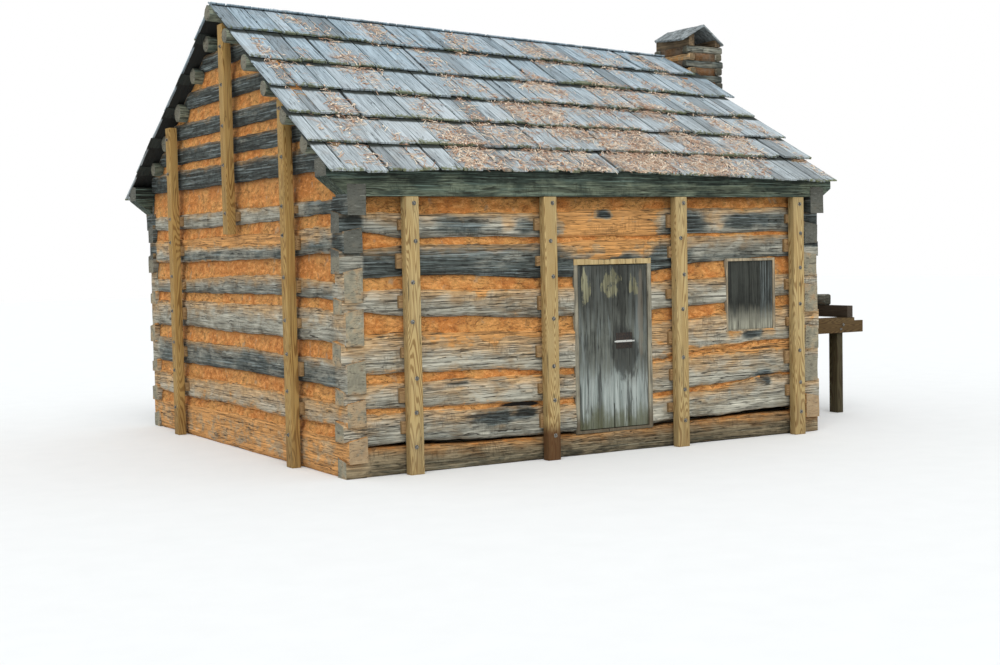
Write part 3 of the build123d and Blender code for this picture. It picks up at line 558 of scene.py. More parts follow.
def shake_wood(name):
    """Silver-blue riven shakes, bluer up the slope, mossy at some butts, with litter lying on them; each
    course is painted dark just under the next course's butts as painted shade, and the underlay near black as
    the shade in the gaps.
    """
    paint = Paint(name)
    tone = paint.attribute("wear", 0)
    butt = paint.attribute("wear", 1)
    seed = paint.attribute("wear", 2) * 41.0
    litter = paint.attribute("litter", 0)
    grain = paint.coords((55.0, 2.4, 2.4), seed)
    place = paint.coords((1, 1, 1), seed)
    fibre = paint.noise(grain, 1.0, 4.0, 0.6, 0.2)
    thread = paint.noise(paint.coords((260.0, 7.0, 7.0), seed), 1.0, 2.0)
    patch = paint.noise(place, 6.0, 4.0, 0.6)
    base = colour("shake")
    high = paint.axis(2).between(3.0, 4.3)
    light = paint.mix(high, scaled(base, 1.22), scaled(base, 0.95, 1.06, 1.15))
    deep = paint.mix(high, scaled(base, 0.56), scaled(base, 0.42, 0.50, 0.56))
    paint.colour = paint.mix(fibre.between(0.30, 0.68), deep, light)
    paint.lay(tone.between(0.72, 1.0) * 0.60, (0.13, 0.145, 0.15))
    paint.lay(tone.between(0.30, 0.0) * 0.35, (0.56, 0.60, 0.62))
    paint.lay(patch.between(0.50, 0.80) * 0.40, (0.26, 0.23, 0.19))
    paint.lay(thread.between(0.60, 0.80) * 0.30, (0.05, 0.055, 0.055))
    # Painted shade: a dark band on each course just under the butts of the next one.
    share = paint.attribute("wear", 3)
    paint.lay((share + (patch - 0.5) * 0.14).between(0.84, 0.925) * 0.95, (0.012, 0.015, 0.009))
    # Painted shade: the underlay, whose tone is above 1, is painted near black as the shade in the gaps
    # between shakes.
    paint.lay(tone.between(1.0, 1.4), (0.016, 0.017, 0.015))
    damp = paint.noise(paint.coords((0.8, 0.8, 0.8)), 2.2, 3.0)
    moss = (butt * 0.9 + (paint.noise(place, 34.0, 3.0) - 0.5) * 1.6 + (damp - 0.5) * 1.6).between(0.72, 1.0)
    paint.lay(moss * 0.80, (0.115, 0.125, 0.028))
    check = paint.noise(paint.coords((22.0, 0.9, 0.9), seed), 1.2, 2.0).crease(0.010, 0.002)
    paint.lay(check * 0.8, (0.02, 0.022, 0.022))
    speck = paint.coords((1, 1, 1))
    needles = paint.noise(speck, 62.0, 4.0, 0.8, 2.0)
    drift = paint.noise(paint.coords((2.6, 1.4, 1.4)), 1.7, 4.0, 0.62)
    cover = (litter * 1.2 + (drift - 0.5) * 2.0 + (needles - 0.5) * 1.9).between(0.62, 0.82)
    leaf = paint.mix(needles.between(0.45, 0.75), (0.31, 0.20, 0.13), (0.58, 0.43, 0.31))
    leaf = paint.mix(paint.noise(speck, 48.0, 1.0).between(0.58, 0.64), leaf, (0.78, 0.68, 0.54))
    paint.lay(cover * 0.88, leaf)
    return paint.finish(0.82, fibre * 0.45 + thread * 0.3 + cover * 0.8 - check, 0.006)


def board_wood(name, axis, pale, dark, stains=None):
    """Old board; stains(paint, fibre, patch) may lay more over it."""
    paint = Paint(name)
    seed = paint.attribute("wear", 2) * 31.0
    grain = paint.coords(along(axis, 1.1, 26.0), seed)
    fine = paint.coords(along(axis, 5.0, 170.0), seed)
    fibre = paint.noise(grain, 1.4, 4.0, 0.6, 0.3)
    thread = paint.noise(fine, 1.0, 3.0)
    patch = paint.noise(paint.coords((1, 1, 1), seed), 4.0, 4.0, 0.6)
    paint.colour = paint.mix((fibre * 0.7 + patch * 0.5).between(0.42, 0.78), dark, pale)
    paint.lay(thread.between(0.55, 0.8) * 0.35, scaled(pale, 1.5))
    if stains:
        stains(paint, fibre, patch)
    check = paint.noise(paint.coords(along(axis, 0.5, 24.0), seed), 1.3, 2.0).crease(0.010, 0.002)
    paint.lay(check * 0.75, (0.015, 0.014, 0.012))
    return paint.finish(0.85, fibre * 0.5 + thread * 0.35 - check, 0.004)


def door_stains(paint, fibre, patch):
    """Near black above with olive patches, silver below, moss at the foot."""
    height = paint.axis(2)
    blotch = paint.noise(paint.coords((1, 1, 0.6)), 13.0, 3.0, 0.6)
    ragged = (fibre - 0.5) * 0.75 + (patch - 0.5) * 0.45
    torn = (blotch - 0.5) * 4.5 + (fibre - 0.5) * 2.0
    silver = paint.mix(fibre.between(0.3, 0.7), (0.19, 0.22, 0.205), (0.42, 0.46, 0.43))
    streak = paint.noise(paint.coords((15.0, 15.0, 1.1)), 1.0, 4.0, 0.65, 0.4)
    paint.lay(streak.between(0.50, 0.66) * 0.6, (0.20, 0.225, 0.215))
    paint.lay((height + ragged).between(0.98, 0.62) * 0.95, silver)
    paint.lay(streak.between(0.47, 0.36) * 0.75, (0.020, 0.021, 0.018))
    paint.lay((height + ragged * 0.6).between(1.15, 1.55) * 0.62, (0.026, 0.027, 0.023))
    olive = paint.mix(fibre.between(0.35, 0.65), (0.10, 0.095, 0.055), (0.28, 0.265, 0.16))
    for spot in DOOR_PATCHES:
        paint.lay(paint.spot(*spot, torn) * 0.85, olive)
    paint.lay(paint.spot(*DOOR_STREAK, torn * 0.5) * 0.3, (0.20, 0.15, 0.10))
    moss = (height + (patch - 0.5) * 0.4 + (fibre - 0.5) * 0.3).between(0.50, 0.26)
    paint.lay(moss * 0.75, (0.085, 0.085, 0.035))
    paint.lay(paint.spot(*HASP_STAIN, torn * 0.35) * 0.7, (0.022, 0.023, 0.021))


def shutter_stains(paint, fibre, patch):
    """Black above, tan and grey below, the right plank bluer."""
    seam = MID_X + SHUTTER_SEAMS[-1]
    plank = paint.axis(0).between(seam - 0.004, seam + 0.004)
    paint.lay(plank * fibre.between(0.40, 0.65) * 0.6, (0.17, 0.20, 0.20))
    height = paint.axis(2) + (fibre - 0.5) * 0.40 + (patch - 0.5) * 0.2
    tan = paint.mix(fibre.between(0.35, 0.7), (0.20, 0.195, 0.15), (0.46, 0.45, 0.35))
    paint.lay(height.between(1.40, 1.16) * 0.9, tan)


def fieldstone(name, moss):
    """Rough stone, speckled and mossy; 'wear' holds tone and seed."""
    paint = Paint(name)
    tone = paint.attribute("wear", 0)
    seed = paint.attribute("wear", 2) * 23.0
    place = paint.coords((1, 1, 1), seed)
    speckle = paint.noise(place, 55.0, 4.0, 0.7)
    cloud = paint.noise(place, 7.0, 5.0, 0.6)
    base = colour("stone")
    paint.colour = paint.mix(tone, scaled(base, 0.55), (0.40, 0.35, 0.26))
    paint.lay(cloud.between(0.35, 0.65) * 0.5, (0.15, 0.14, 0.12))
    paint.lay(speckle.between(0.52, 0.72) * 0.4, (0.45, 0.43, 0.36))
    green = (cloud + (speckle - 0.5) * 0.7).between(0.50, 0.72) * moss
    paint.lay(green, (0.13, 0.155, 0.06))
    return paint.finish(0.9, speckle * 0.5 + cloud, 0.012)


def iron(name, bar):
    """Rusted iron; bar gives the lowest and highest point of a part worn bright."""
    paint = Paint(name)
    place = paint.coords()
    rust = paint.noise(place, 60.0, 4.0, 0.65)
    pit = paint.noise(place, 240.0, 2.0)
    paint.colour = paint.mix(rust.between(0.38, 0.62), (0.022, 0.021, 0.020), (0.048, 0.035, 0.027))
    middle, half = (bar[0] + bar[1]) / 2, (bar[1] - bar[0]) / 2
    bright = abs(paint.axis(2) - middle).between(half + 0.002, half) * rust.between(0.30, 0.45)
    paint.lay(bright, (0.55, 0.55, 0.52))
    return paint.finish(rust * 0.35 + 0.45, rust + pit * 0.4, 0.0012, 0.35)


def galvanised(name):
    """Zinc washers and bolt heads gone dull."""
    paint = Paint(name)
    place = paint.coords()
    bloom = paint.noise(place, 90.0, 3.0, 0.6)
    paint.colour = paint.mix(bloom.between(0.4, 0.65), (0.07, 0.066, 0.058), (0.30, 0.29, 0.26))
    return paint.finish(bloom * 0.3 + 0.4, bloom, 0.0008, 0.45)


def leaf_finish(name):
    """Dead leaves, from pink-tan to straw; 'wear' holds tone."""
    paint = Paint(name)
    tone = paint.attribute("wear", 0)
    base = colour("leaf")
    paint.colour = paint.mix(tone.between(0.1, 0.5), (0.33, 0.17, 0.10), base)
    paint.lay(tone.between(0.55, 0.90), (0.82, 0.70, 0.54))
    vein = paint.noise(paint.coords(), 160.0, 2.0)
    paint.lay(vein.between(0.5, 0.8) * 0.3, (0.20, 0.10, 0.05))
    return paint.finish(0.75, vein, 0.001)


def copy_of(node):
    """The merged mesh of one node's solids."""
    shape = bmesh.new()
    shape.from_mesh(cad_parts[node].data)
    bmesh.ops.remove_doubles(shape, verts=shape.verts[:], dist=0.00005)
    return shape


def islands(shape):
    """Groups of vertices that hang together."""
    left = set(shape.verts)
    groups = []
    while left:
        stack = [left.pop()]
        group = []
        while stack:
            vertex = stack.pop()
            group.append(vertex)
            for edge in vertex.link_edges:
                other = edge.other_vert(vertex)
                if other in left:
                    left.remove(other)
                    stack.append(other)
        groups.append(group)
    groups.sort(key=lowest_corner)
    return groups


def lowest_corner(group):
    """Lowest height and least places of a group, which put groups in the same order each time."""
    return round(min(v.co.z for v in group), 3), min(v.co.x for v in group), min(v.co.y for v in group)


def seeded_groups(shape, name):
    """The groups of a shape, each with a seed of its own."""
    return [(group, random.Random(f"{name}{index}").random()) for index, group in enumerate(islands(shape))]


def slice_group(shape, group, axis, step):
    """Cuts a group of vertices into even slices along an axis and returns its vertices."""
    low = min(v.co[axis] for v in group)
    high = max(v.co[axis] for v in group)
    faces = {face for v in group for face in v.link_faces}
    edges = {edge for v in group for edge in v.link_edges}
    geometry = list(group) + list(edges) + list(faces)
    normal = Vector((0, 0, 0))
    normal[axis] = 1
    count = max(1, round((high - low) / step))
    for i in range(1, count):
        place = Vector((0, 0, 0))
        place[axis] = low + (high - low) * i / count
        cut = bmesh.ops.bisect_plane(shape, geom=geometry, dist=0.00002, plane_co=place, plane_no=normal)
        geometry = cut["geom"]
    return [g for g in geometry if isinstance(g, bmesh.types.BMVert)]


def sliced(shape, group, axis, step, rise):
    """Cuts a group into slices along an axis and into layers, and brings its normals up to date."""
    group = slice_group(shape, group, axis, step)
    group = slice_group(shape, group, 2, rise)
    shape.normal_update()
    return group


def heights_along(group, axis, step):
    """Lowest and highest point of a group in each slice along an axis."""
    spans = {}
    for vertex in group:
        key = round(vertex.co[axis] / step)
        low, high = spans.get(key, (99, -99))
        spans[key] = (min(low, vertex.co.z), max(high, vertex.co.z))
    return spans


def rough_at(place, *layers):
    """Unevenness at a place: the sum of layers of noise, each with a fineness and a strength."""
    return sum(noise.noise(place * fine) * strong for fine, strong in layers)


def stain_at(stains, across, height, dark, smear):
    """Wear at a place on a wall, with the stains' edges wandering."""
    wobble = noise.noise(Vector((across * 3.5, height * 5.0, 4.0))) * 0.7
    wobble += noise.noise(Vector((across * 9.0, height * 14.0, 8.0))) * 0.4
    for middle, level, wide, tall, more_dark, more_clay in stains:
        near = 1 - ((across - middle) / wide) ** 4 - ((height - level) / tall) ** 4 + wobble
        if near > 0:
            weight = min(1, near)
            dark += more_dark * weight
            smear += more_clay * weight
    return dark, smear


def wear_layer(shape, name="wear"):
    """The attribute of that name, made when it isn't there yet."""
    layer = shape.verts.layers.float_color.get(name)
    return layer or shape.verts.layers.float_color.new(name)


def set_wear(layer, group, seed):
    """Even wear on some vertices, with the seed of their piece."""
    for vertex in group:
        vertex[layer] = (0.5, 0.3, seed, 1)


def seed_planks(shape, seams, first):
    """Even wear on boards, with a seed for each plank between the seams."""
    layer = wear_layer(shape)
    for vertex in shape.verts:
        plank = sum(vertex.co.x - MID_X > seam for seam in seams)
        vertex[layer] = (0.5, 0.3, plank * 0.27 + first, 1)


def make_piece(shape, name, finishes, node=None, body="cabin", sharp=38, normals=False):
    """Turns a bmesh into an object that rides on a body and, where a node is named, stands for it."""
    if normals:
        bmesh.ops.recalc_face_normals(shape, faces=shape.faces[:])
    for face in shape.faces:
        face.smooth = True
    mesh = bpy.data.meshes.new(name)
    shape.to_mesh(mesh)
    shape.free()
    for finish in finishes:
        mesh.materials.append(finish)
    mesh.set_sharp_from_angle(angle=math.radians(sharp))
    piece = bpy.data.objects.new(name, mesh)
    bpy.context.scene.collection.objects.link(piece)
    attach(piece, body)
    if node:
        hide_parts(node)


def mark_ends(shape, axis):
    """Faces square to the log get the second finish."""
    shape.normal_update()
    for face in shape.faces:
        if abs(face.normal[axis]) > 0.75:
            face.material_index = 1


def hew(node, axis, wears, stains=(), step=LOG_STEP):
    """Logs of one node, with wandering edges and axe hollows; wears are picked by height."""
    shape = copy_of(node)
    mark_ends(shape, axis)
    layer = wear_layer(shape)
    depth = sizes().hewing
    corner = (HALF_W, HALF_D)[axis] - CORNER
    for group, seed in seeded_groups(shape, node):
        group = sliced(shape, group, axis, step, LOG_RISE)
        spans = heights_along(group, axis, step)
        dark, smear = wear_for(wears, sum(v.co.z for v in group) / len(group))
        for vertex in group:
            place = vertex.co
            low, high = spans[round(place[axis] / step)]
            part = (place.z - low) / max(0.02, high - low)
            edge = max(0.0, 1 - min(part, 1 - part) * 5)
            across = place.x - MID_X if axis == 0 else place.y
            tone, clay = stain_at(stains, across, place.z, dark, smear)
            if abs(across) > corner:
                tone, clay = (tone + 0.5, clay * 0.3) if place.z > CORNER_DARK else (tone * 0.6, clay + 0.1)
            vertex[layer] = (tone, clay + 0.25 * edge, seed, part)
            vertex.co += axe_marks(vertex, axis, seed, depth, part, edge)
    return shape


def axe_marks(vertex, axis, seed, depth, part, edge):
    """How far a point of a log moves: hollows square to its face, and edges that wander up and down."""
    place = vertex.co + Vector((seed * 31, seed * 17, seed * 11))
    move = vertex.normal * rough_at(place, (3.1, 0.9), (11, 0.55)) * depth
    place[axis] *= 2.2
    wander = rough_at(place, (1.0, 0.013), (4.0, 0.006))
    move.z += (wander + (0.010 if part > 0.5 else -0.004)) * edge
    return move


def wear_for(wears, middle):
    """Wear of the log whose middle lies at a height."""
    if middle > PEAK_FOOT:
        return PEAK_WEAR
    nearest = min(range(len(LOG_MIDDLES)), key=lambda index: abs(LOG_MIDDLES[index] - middle))
    return wears[nearest]


def daub(node, axis):
    """Clay of one node, lumpy and pressed into the logs above and below."""
    shape = copy_of(node)
    layer = wear_layer(shape)
    lumps = sizes().lumps
    for group in islands(shape):
        group = sliced(shape, group, axis, CLAY_STEP, CLAY_RISE)
        spans = heights_along(group, axis, CLAY_STEP)
        for vertex in group:
            low, high = spans[round(vertex.co[axis] / CLAY_STEP)]
            part = (vertex.co.z - low) / max(0.01, high - low)
            # The fourth number, the height in the band, steers the painted shade under the log above.
            vertex[layer] = (0.5, 0.5, 0.5, part)
            lump = rough_at(vertex.co, (8, 1.0), (21, 0.8), (47, 0.4))
            move = vertex.normal * (lump * lumps + 0.018 - 0.030 * part)
            move[axis] = 0
            move.z = 0.016 * (part * 2 - 1)
            vertex.co += move
    return shape


def packed_joint():
    """Lumpy clay deep in the joint over the back sill, so that no daylight shows under the lowest log."""
    shape = bmesh.new()
    layer = wear_layer(shape)
    long, deep, tall = PACKED_SIZE
    for vertex in bmesh.ops.create_cube(shape, size=1)["verts"]:
        x, y, z = vertex.co
        vertex.co = Vector((MID_X + x * long, PACKED_Y + y * deep, PACKED_Z + z * tall))
    for vertex in sliced(shape, shape.verts[:], 0, CLAY_STEP, CLAY_RISE):
        # Height 1 paints all of this clay dark, as painted shade deep in the joint.
        vertex[layer] = (0.5, 0.5, 0.5, 1)
        vertex.co += vertex.normal * rough_at(vertex.co, (8, 1), (21, 1)) * 0.012
    return shape


def flue_clay():
    """Clay of the chimney's stack, pressed out unevenly between its poles."""
    shape = copy_of("chimney_clay")
    group = slice_group(shape, shape.verts[:], 2, CLAY_STEP)
    shape.normal_update()
    for vertex in group:
        vertex.co += vertex.normal * (rough_at(vertex.co, (9, 1), (23, 0.7)) + 0.5) * 0.013
    return shape


def bevel_edges(shape, edges, width, segments=1):
    """Takes the sharpness off some edges."""
    bmesh.ops.bevel(
        shape,
        geom=edges,
        offset=width,
        segments=segments,
        profile=0.5,
        affect="EDGES",
        material=-1,
        clamp_overlap=True,
    )


def folded(edges, angle):
    """Those of some edges at which two faces meet at more than an angle."""
    limit = math.radians(angle)
    return [e for e in edges if len(e.link_faces) == 2 and e.calc_face_angle(0) > limit]


def eased(shape, width, segments=1, angle=30):
    """Worn edges on sawn or cut pieces."""
    shape.normal_update()
    bevel_edges(shape, folded(shape.edges, angle), width, segments)
    return shape


def dissolve_flat(shape):
    """Joins the triangles of each flat face again."""
    bmesh.ops.dissolve_limit(
        shape,
        angle_limit=math.radians(0.4),
        verts=shape.verts[:],
        edges=shape.edges[:],
        use_dissolve_boundaries=False,
    )
    return shape


def sawn(node, width=0.004):
    """Sawn pieces of a node with eased edges and a seed for each piece."""
    shape = eased(dissolve_flat(copy_of(node)), width, 2)
    layer = wear_layer(shape)
    for group, seed in seeded_groups(shape, node):
        set_wear(layer, group, seed)
    return shape


def make_sawn(node, name, finish, width=0.004, body="cabin"):
    """Makes the piece that stands for one node, its solids as they are but with eased edges."""
    make_piece(sawn(node, width), name, (finish,), node, body)


def shift_for(seed):
    """Moves the unevenness of a pole, so that no two poles are alike."""
    return Vector((seed * 9, seed * 5, seed * 3))


def roundish(node, axis, wears):
    """Poles of one node, rounded and knobbly."""
    shape = eased(dissolve_flat(copy_of(node)), 0.022, 2, 50)
    mark_ends(shape, axis)
    layer = wear_layer(shape)
    dark, smear = wears
    for group, seed in seeded_groups(shape, node):
        group = slice_group(shape, group, axis, 0.12)
        shape.normal_update()
        for vertex in group:
            place = vertex.co + shift_for(seed)
            vertex[layer] = (dark + (seed - 0.5) * 0.5, smear, seed, 0.4)
            vertex.co += vertex.normal * noise.noise(place * 7) * 0.006
    return shape


def weathered(node, dark, darker_above):
    """Roof timbers of one node, sunk a little unevenly; darker_above is added towards the top of each, partly
    the timber's own darkness and partly painted shade under the roof's overhang.
    """
    shape = copy_of(node)
    mark_ends(shape, 0)
    layer = wear_layer(shape)
    for group, seed in seeded_groups(shape, node):
        group = sliced(shape, group, 0, 0.15, 0.06)
        low, high = min(v.co.z for v in group), max(v.co.z for v in group)
        for vertex in group:
            place = vertex.co + shift_for(seed)
            part = (vertex.co.z - low) / (high - low)
            # Painted shade, in part: darker_above darkens the top of each timber, where the roof's overhang
            # shades it.
            vertex[layer] = (dark + darker_above * max(0, part - 0.30), 0, seed, 0.3)
            vertex.co += vertex.normal * (noise.noise(place * 4) - 0.35) * 0.006
    return shape


def add_bolt(shape, place, outward, radius):
    """Washer and hexagonal head standing off a face."""
    turn = Vector((0, 0, 1)).rotation_difference(outward).to_matrix().to_4x4()
    washer = (radius, WASHER_THICK, 0.0, 16)
    head = (radius * 0.56, BOLT_HEAD, WASHER_THICK, 6)
    for size, depth, start, sides in (washer, head):
        shift = Matrix.Translation(place + outward * (start + depth / 2))
        made = bmesh.ops.create_cone(
            shape,
            cap_ends=True,
            segments=sides,
            radius1=size,
            radius2=size * 0.94,
            depth=depth,
            matrix=shift @ turn,
        )
        edges = dict.fromkeys(edge for vertex in made["verts"] for edge in vertex.link_edges)
        bevel_edges(shape, folded(edges, 60), 0.0012)


def ridge_z(x):
    """Height of the ridge, which sinks toward the right gable."""
    return RIDGE_LEFT + (x - ROOF_LEFT) / (ROOF_RIGHT - ROOF_LEFT) * (RIDGE_RIGHT - RIDGE_LEFT)


def eave_z(x):
    """Height of the eave."""
    return EAVE_LEFT + (x - ROOF_LEFT) / (ROOF_RIGHT - ROOF_LEFT) * (EAVE_RIGHT - EAVE_LEFT)


def butt_part(course, x):
    """How far up the slope a course starts; the eave bows up in its middle."""
    part = COURSES[course]
    if course == 0:
        part += 0.03 * max(0, 1 - ((x + 0.4) / 3.0) ** 2)
    return part


def on_slope(side, x, part, lift):
    """Point of a slope: part of the way from eave to ridge, lifted square to it."""
    rise = ridge_z(x) - eave_z(x)
    tilt = math.atan2(rise, EAVE_Y)
    y = EAVE_Y * (1 - part) + lift * math.sin(tilt)
    z = eave_z(x) + rise * part + lift * math.cos(tilt)
    return Vector((x + MID_X, side * y, z))


def next_part(course):
    """How far up the slope the next course starts, or the ridge."""
    return COURSES[course + 1] if course < LAST_COURSE else 1.0


def shake_top(share):
    """Lift of a shake's upper face at a distance up from its butt, in shares of the exposure."""
    return -0.004 - 0.028 * min(1.2, share)


def shake_foot(share):
    """Lift of its lower face at the same place."""
    return -0.022 - 0.022 * min(1.2, share)


def litter_at(side, x, part):
    """How much dead leaf lies at a point of a slope: a little all over the front, and more in drifts."""
    if side > 0:
        return 0.2 * (1 - part)
    drift = 0.0
    for middle, height, wide, tall, amount in LEAF_DRIFTS:
        near = 1 - ((x - middle) / wide) ** 2 - ((part - height) / tall) ** 2
        drift = max(drift, amount * min(1, max(0, near * 2)))
    return 0.07 * max(0, 0.9 - part) + drift


def lay_shake(shape, layers, side, course, x0, x1, chance):
    """One riven shake from its butt to under the next course."""
    last = course == LAST_COURSE
    exposure = (next_part(course) - butt_part(course, (x0 + x1) / 2)) * SLOPE
    past_ridge = 0.02 if side > 0 else 0.05
    length = exposure + (past_ridge if last else SHAKE_LAP)
    verts = strip(shape)
    drop = chance.uniform(-0.018, 0.018) + (chance.uniform(-0.03, 0.03) if chance.random() < 0.15 else 0)
    crest = chance.uniform(-0.03, 0.02) if last and side < 0 else 0
    thick = chance.uniform(-0.004, 0.004)
    cup = chance.uniform(-0.003, 0.006)
    lean = chance.uniform(-0.006, 0.006)
    tone, seed = chance.random(), chance.random()
    wear, litter = layers
    for vertex in verts:
        u, v, w = vertex.co.x, vertex.co.y + 0.5, vertex.co.z
        x = x0 + (x1 - x0) * (u + 0.5) + lean * v
        if last:
            x = slanted(x, course, v)
        up = v * (length + crest)
        share = up / exposure
        if w < 0:
            lift = shake_foot(share)
        else:
            lift = shake_top(share)
            lift += thick * (1 - v) + cup * (abs(u) * 2 - 0.5) + chance.uniform(-0.0015, 0.0015)
        ragged = chance.uniform(-0.004, 0.004) if v < 0.01 else 0
        part = butt_part(course, x) + (up + (drop if v < 0.3 else 0) + ragged) / SLOPE
        # The fourth number, the share of the exposure, steers the painted shade under the next course's
        # butts.
        vertex[wear] = (tone, 1 - min(1, up / 0.05), seed, 0 if last else share)
        vertex[litter] = (litter_at(side, x, part), 0, 0, 1)
        vertex.co = on_slope(side, x, part, lift)


def slanted(x, course, v):
    """Squeezes the top course toward its slanting right edge."""
    left, right = COURSE_LEFT[course], COURSE_RIGHT[course]
    return left + (x - left) * (right + (TOP_RIGHT - right) * v - left) / (right - left)


def strip(shape):
    """A flat piece one unit square and thick, in two by four faces."""
    top = bmesh.ops.create_grid(shape, x_segments=2, y_segments=4, size=0.5)["verts"]
    faces = list(dict.fromkeys(face for vertex in top for face in vertex.link_faces))
    below = bmesh.ops.extrude_face_region(shape, geom=faces)["geom"]
    below = [g for g in below if isinstance(g, bmesh.types.BMVert)]
    bmesh.ops.translate(shape, verts=below, vec=(0, 0, -1))
    return top + below


def underlay(shape, layers, side, course, x0, x1):
    """Second layer that closes the gaps between shakes, painted near black as the shade seen through them."""
    low = butt_part(course, (x0 + x1) / 2) + 0.02
    high = next_part(course) + (0 if course == LAST_COURSE else 0.02)
    made = bmesh.ops.create_cube(shape, size=1)
    wear, litter = layers
    for vertex in made["verts"]:
        x = x0 + (x1 - x0) * (vertex.co.x + 0.5)
        part = high if vertex.co.y > 0 else low
        share = (part - low) / (high - low)
        lift = (-0.026 - 0.016 * share) if vertex.co.z > 0 else (-0.034 - 0.011 * share)
        # A tone of 1.5 paints the underlay near black, as painted shade in the gaps.
        vertex[wear] = (1.5, 0, 0.5, 0)
        vertex[litter] = (0, 0, 0, 1)
        vertex.co = on_slope(side, x, part, lift)


def slope_of_shakes(side):
    """All shakes of one slope, and what closes the gaps between them."""
    shape = bmesh.new()
    layers = (wear_layer(shape), wear_layer(shape, "litter"))
    chance = random.Random(11 if side < 0 else 12)
    mean = sizes().shake_width
    gap = sizes().shake_gap
    for course in range(len(COURSES)):
        left, right = COURSE_LEFT[course], COURSE_RIGHT[course]
        x = left
        while x < right - 0.03:
            width = mean * chance.uniform(0.55, 1.5)
            stop = x + width
            if right - stop < mean * 0.5:
                stop = right
            space = gap * chance.uniform(0.4, 1.5) * (2.4 if chance.random() < 0.28 else 1)
            lay_shake(shape, layers, side, course, x, stop - space, chance)
            x = stop
        x, end = left + 0.02, right - 0.12
        while end - x > 0.02:
            stop = min(x + UNDERLAY_WIDTH, end)
            underlay(shape, layers, side, course, x, stop)
            x = stop
    return shape


class CABIN_OT_logs(bpy.types.Operator):
    """Hewn faces, axe hollows and stains on the wall logs"""

    bl_idname = "cabin.logs"
    bl_label = "Hew the logs"

    def execute(self, context):
        end = end_grain("log_ends")
        along_x = hewn_wood("hewn_logs_along_the_front", 0)
        along_y = hewn_wood("hewn_logs_along_the_gables", 1)
        for node in ("front_logs_left", "front_logs_right", "front_logs_over"):
            shape = hew(node, 0, FRONT_WEAR, FRONT_STAINS, FRONT_STEP)
            make_piece(shape, f"hewn_{node}", (along_x, end), node)
        sill = hewn_wood("hewn_sill", 0, (0.74, 0.60, 0.44))
        shape = hew("front_sill_log", 0, FRONT_WEAR, FRONT_STAINS)
        make_piece(shape, "hewn_front_sill_log", (sill, end), "front_sill_log")
        make_piece(hew("back_logs", 0, FRONT_WEAR), "hewn_back_logs", (along_x, end), "back_logs")
        for node in ("left_logs", "right_logs_low", "right_logs_over"):
            shape = hew(node, 1, GABLE_WEAR, GABLE_STAINS)
            make_piece(shape, f"hewn_{node}", (along_y, end), node)
        return {"FINISHED"}


class CABIN_OT_chinking(bpy.types.Operator):
    """Lumpy clay between the logs"""

    bl_idname = "cabin.chinking"
    bl_label = "Daub the joints"

    def execute(self, context):
        front = clay_daub("front_chinking", slot=BARE_JOINT)
        for node in ("front_clay_left", "front_clay_right", "front_clay_over"):
            make_piece(daub(node, 0), f"daubed_{node}", (front,), node, sharp=60)
        clay = clay_daub("clay_chinking")
        make_piece(daub("back_clay", 0), "daubed_back_clay", (clay,), "back_clay", sharp=60)
        make_piece(packed_joint(), "packed_back_sill", (clay,), sharp=60)
        for node in ("left_clay", "right_clay_low", "right_clay_over"):
            make_piece(daub(node, 1), f"daubed_{node}", (clay,), node, sharp=60)
        return {"FINISHED"}


class CABIN_OT_shakes(bpy.types.Operator):
    """Riven shakes in six courses on both slopes"""

    bl_idname = "cabin.shakes"
    bl_label = "Lay the shakes"

    def execute(self, context):
        wood = shake_wood("silvered_shakes")
        for side, name in ((-1, "front"), (1, "back")):
            shape = slope_of_shakes(side)
            make_piece(shape, f"shakes_{name}", (wood,), f"roof_{name}", sharp=30, normals=True)
        return {"FINISHED"}


class CABIN_OT_leaves(bpy.types.Operator):
    """Dead leaves caught on the front slope"""

    bl_idname = "cabin.leaves"
    bl_label = "Scatter dead leaves"

    def execute(self, context):
        shape = bmesh.new()
        bmesh.ops.create_grid(shape, x_segments=sizes().leaves, y_segments=2, size=0.5)
        seams = [e for e in shape.edges if len(e.link_faces) == 2 and e.verts[0].co.y != e.verts[1].co.y]
        bmesh.ops.split_edges(shape, edges=seams)
        wear = wear_layer(shape)
        chance = random.Random(5)
        for group in islands(shape):
            lay_leaf(group, wear, chance)
        make_piece(shape, "dead_leaves", (leaf_finish("dead_leaves"),), sharp=180)
        return {"FINISHED"}


def leafy_spot(chance):
    """A random place on the front slope, likelier where leaves gather."""
    while True:
        x, part = chance.uniform(-LEAF_REACH, LEAF_REACH), chance.uniform(0.03, 0.98)
        drift = noise.noise(Vector((x * 3.0, part * 4.0, 2.0))) * 0.8
        if chance.random() < (litter_at(-1, x, part) + drift) * 1.3:
            return x, part


def lay_leaf(group, wear, chance):
    """Turns one strip into a needle or a curled leaf lying on the shakes."""
    x, part = leafy_spot(chance)
    course = max(i for i in range(len(COURSES)) if butt_part(i, x) <= part or i == 0)
    share = (part - butt_part(course, x)) / (next_part(course) - butt_part(course, x))
    lift = shake_top(max(0, share)) + 0.006
    turn = chance.uniform(0, math.tau)
    long, wide, curl = chance.uniform(0.04, 0.13), chance.uniform(0.004, 0.008), chance.uniform(0, 0.006)
    if chance.random() < BROAD_SHARE:
        long, wide, curl = chance.uniform(0.02, 0.045), chance.uniform(0.010, 0.022), chance.uniform(0, 0.012)
    tone = chance.random()
    middle = sum(vertex.co.x for vertex in group) / len(group)
    for vertex in group:
        u, v = math.copysign(wide / 2, vertex.co.x - middle), vertex.co.y * long
        bend = curl * (1 - abs(vertex.co.y) * 2)
        sideways = u * math.cos(turn) - v * math.sin(turn)
        upwards = u * math.sin(turn) + v * math.cos(turn)
        vertex[wear] = (tone, 0, 0, 1)
        vertex.co = on_slope(-1, x + sideways, part + upwards / SLOPE, lift + bend)


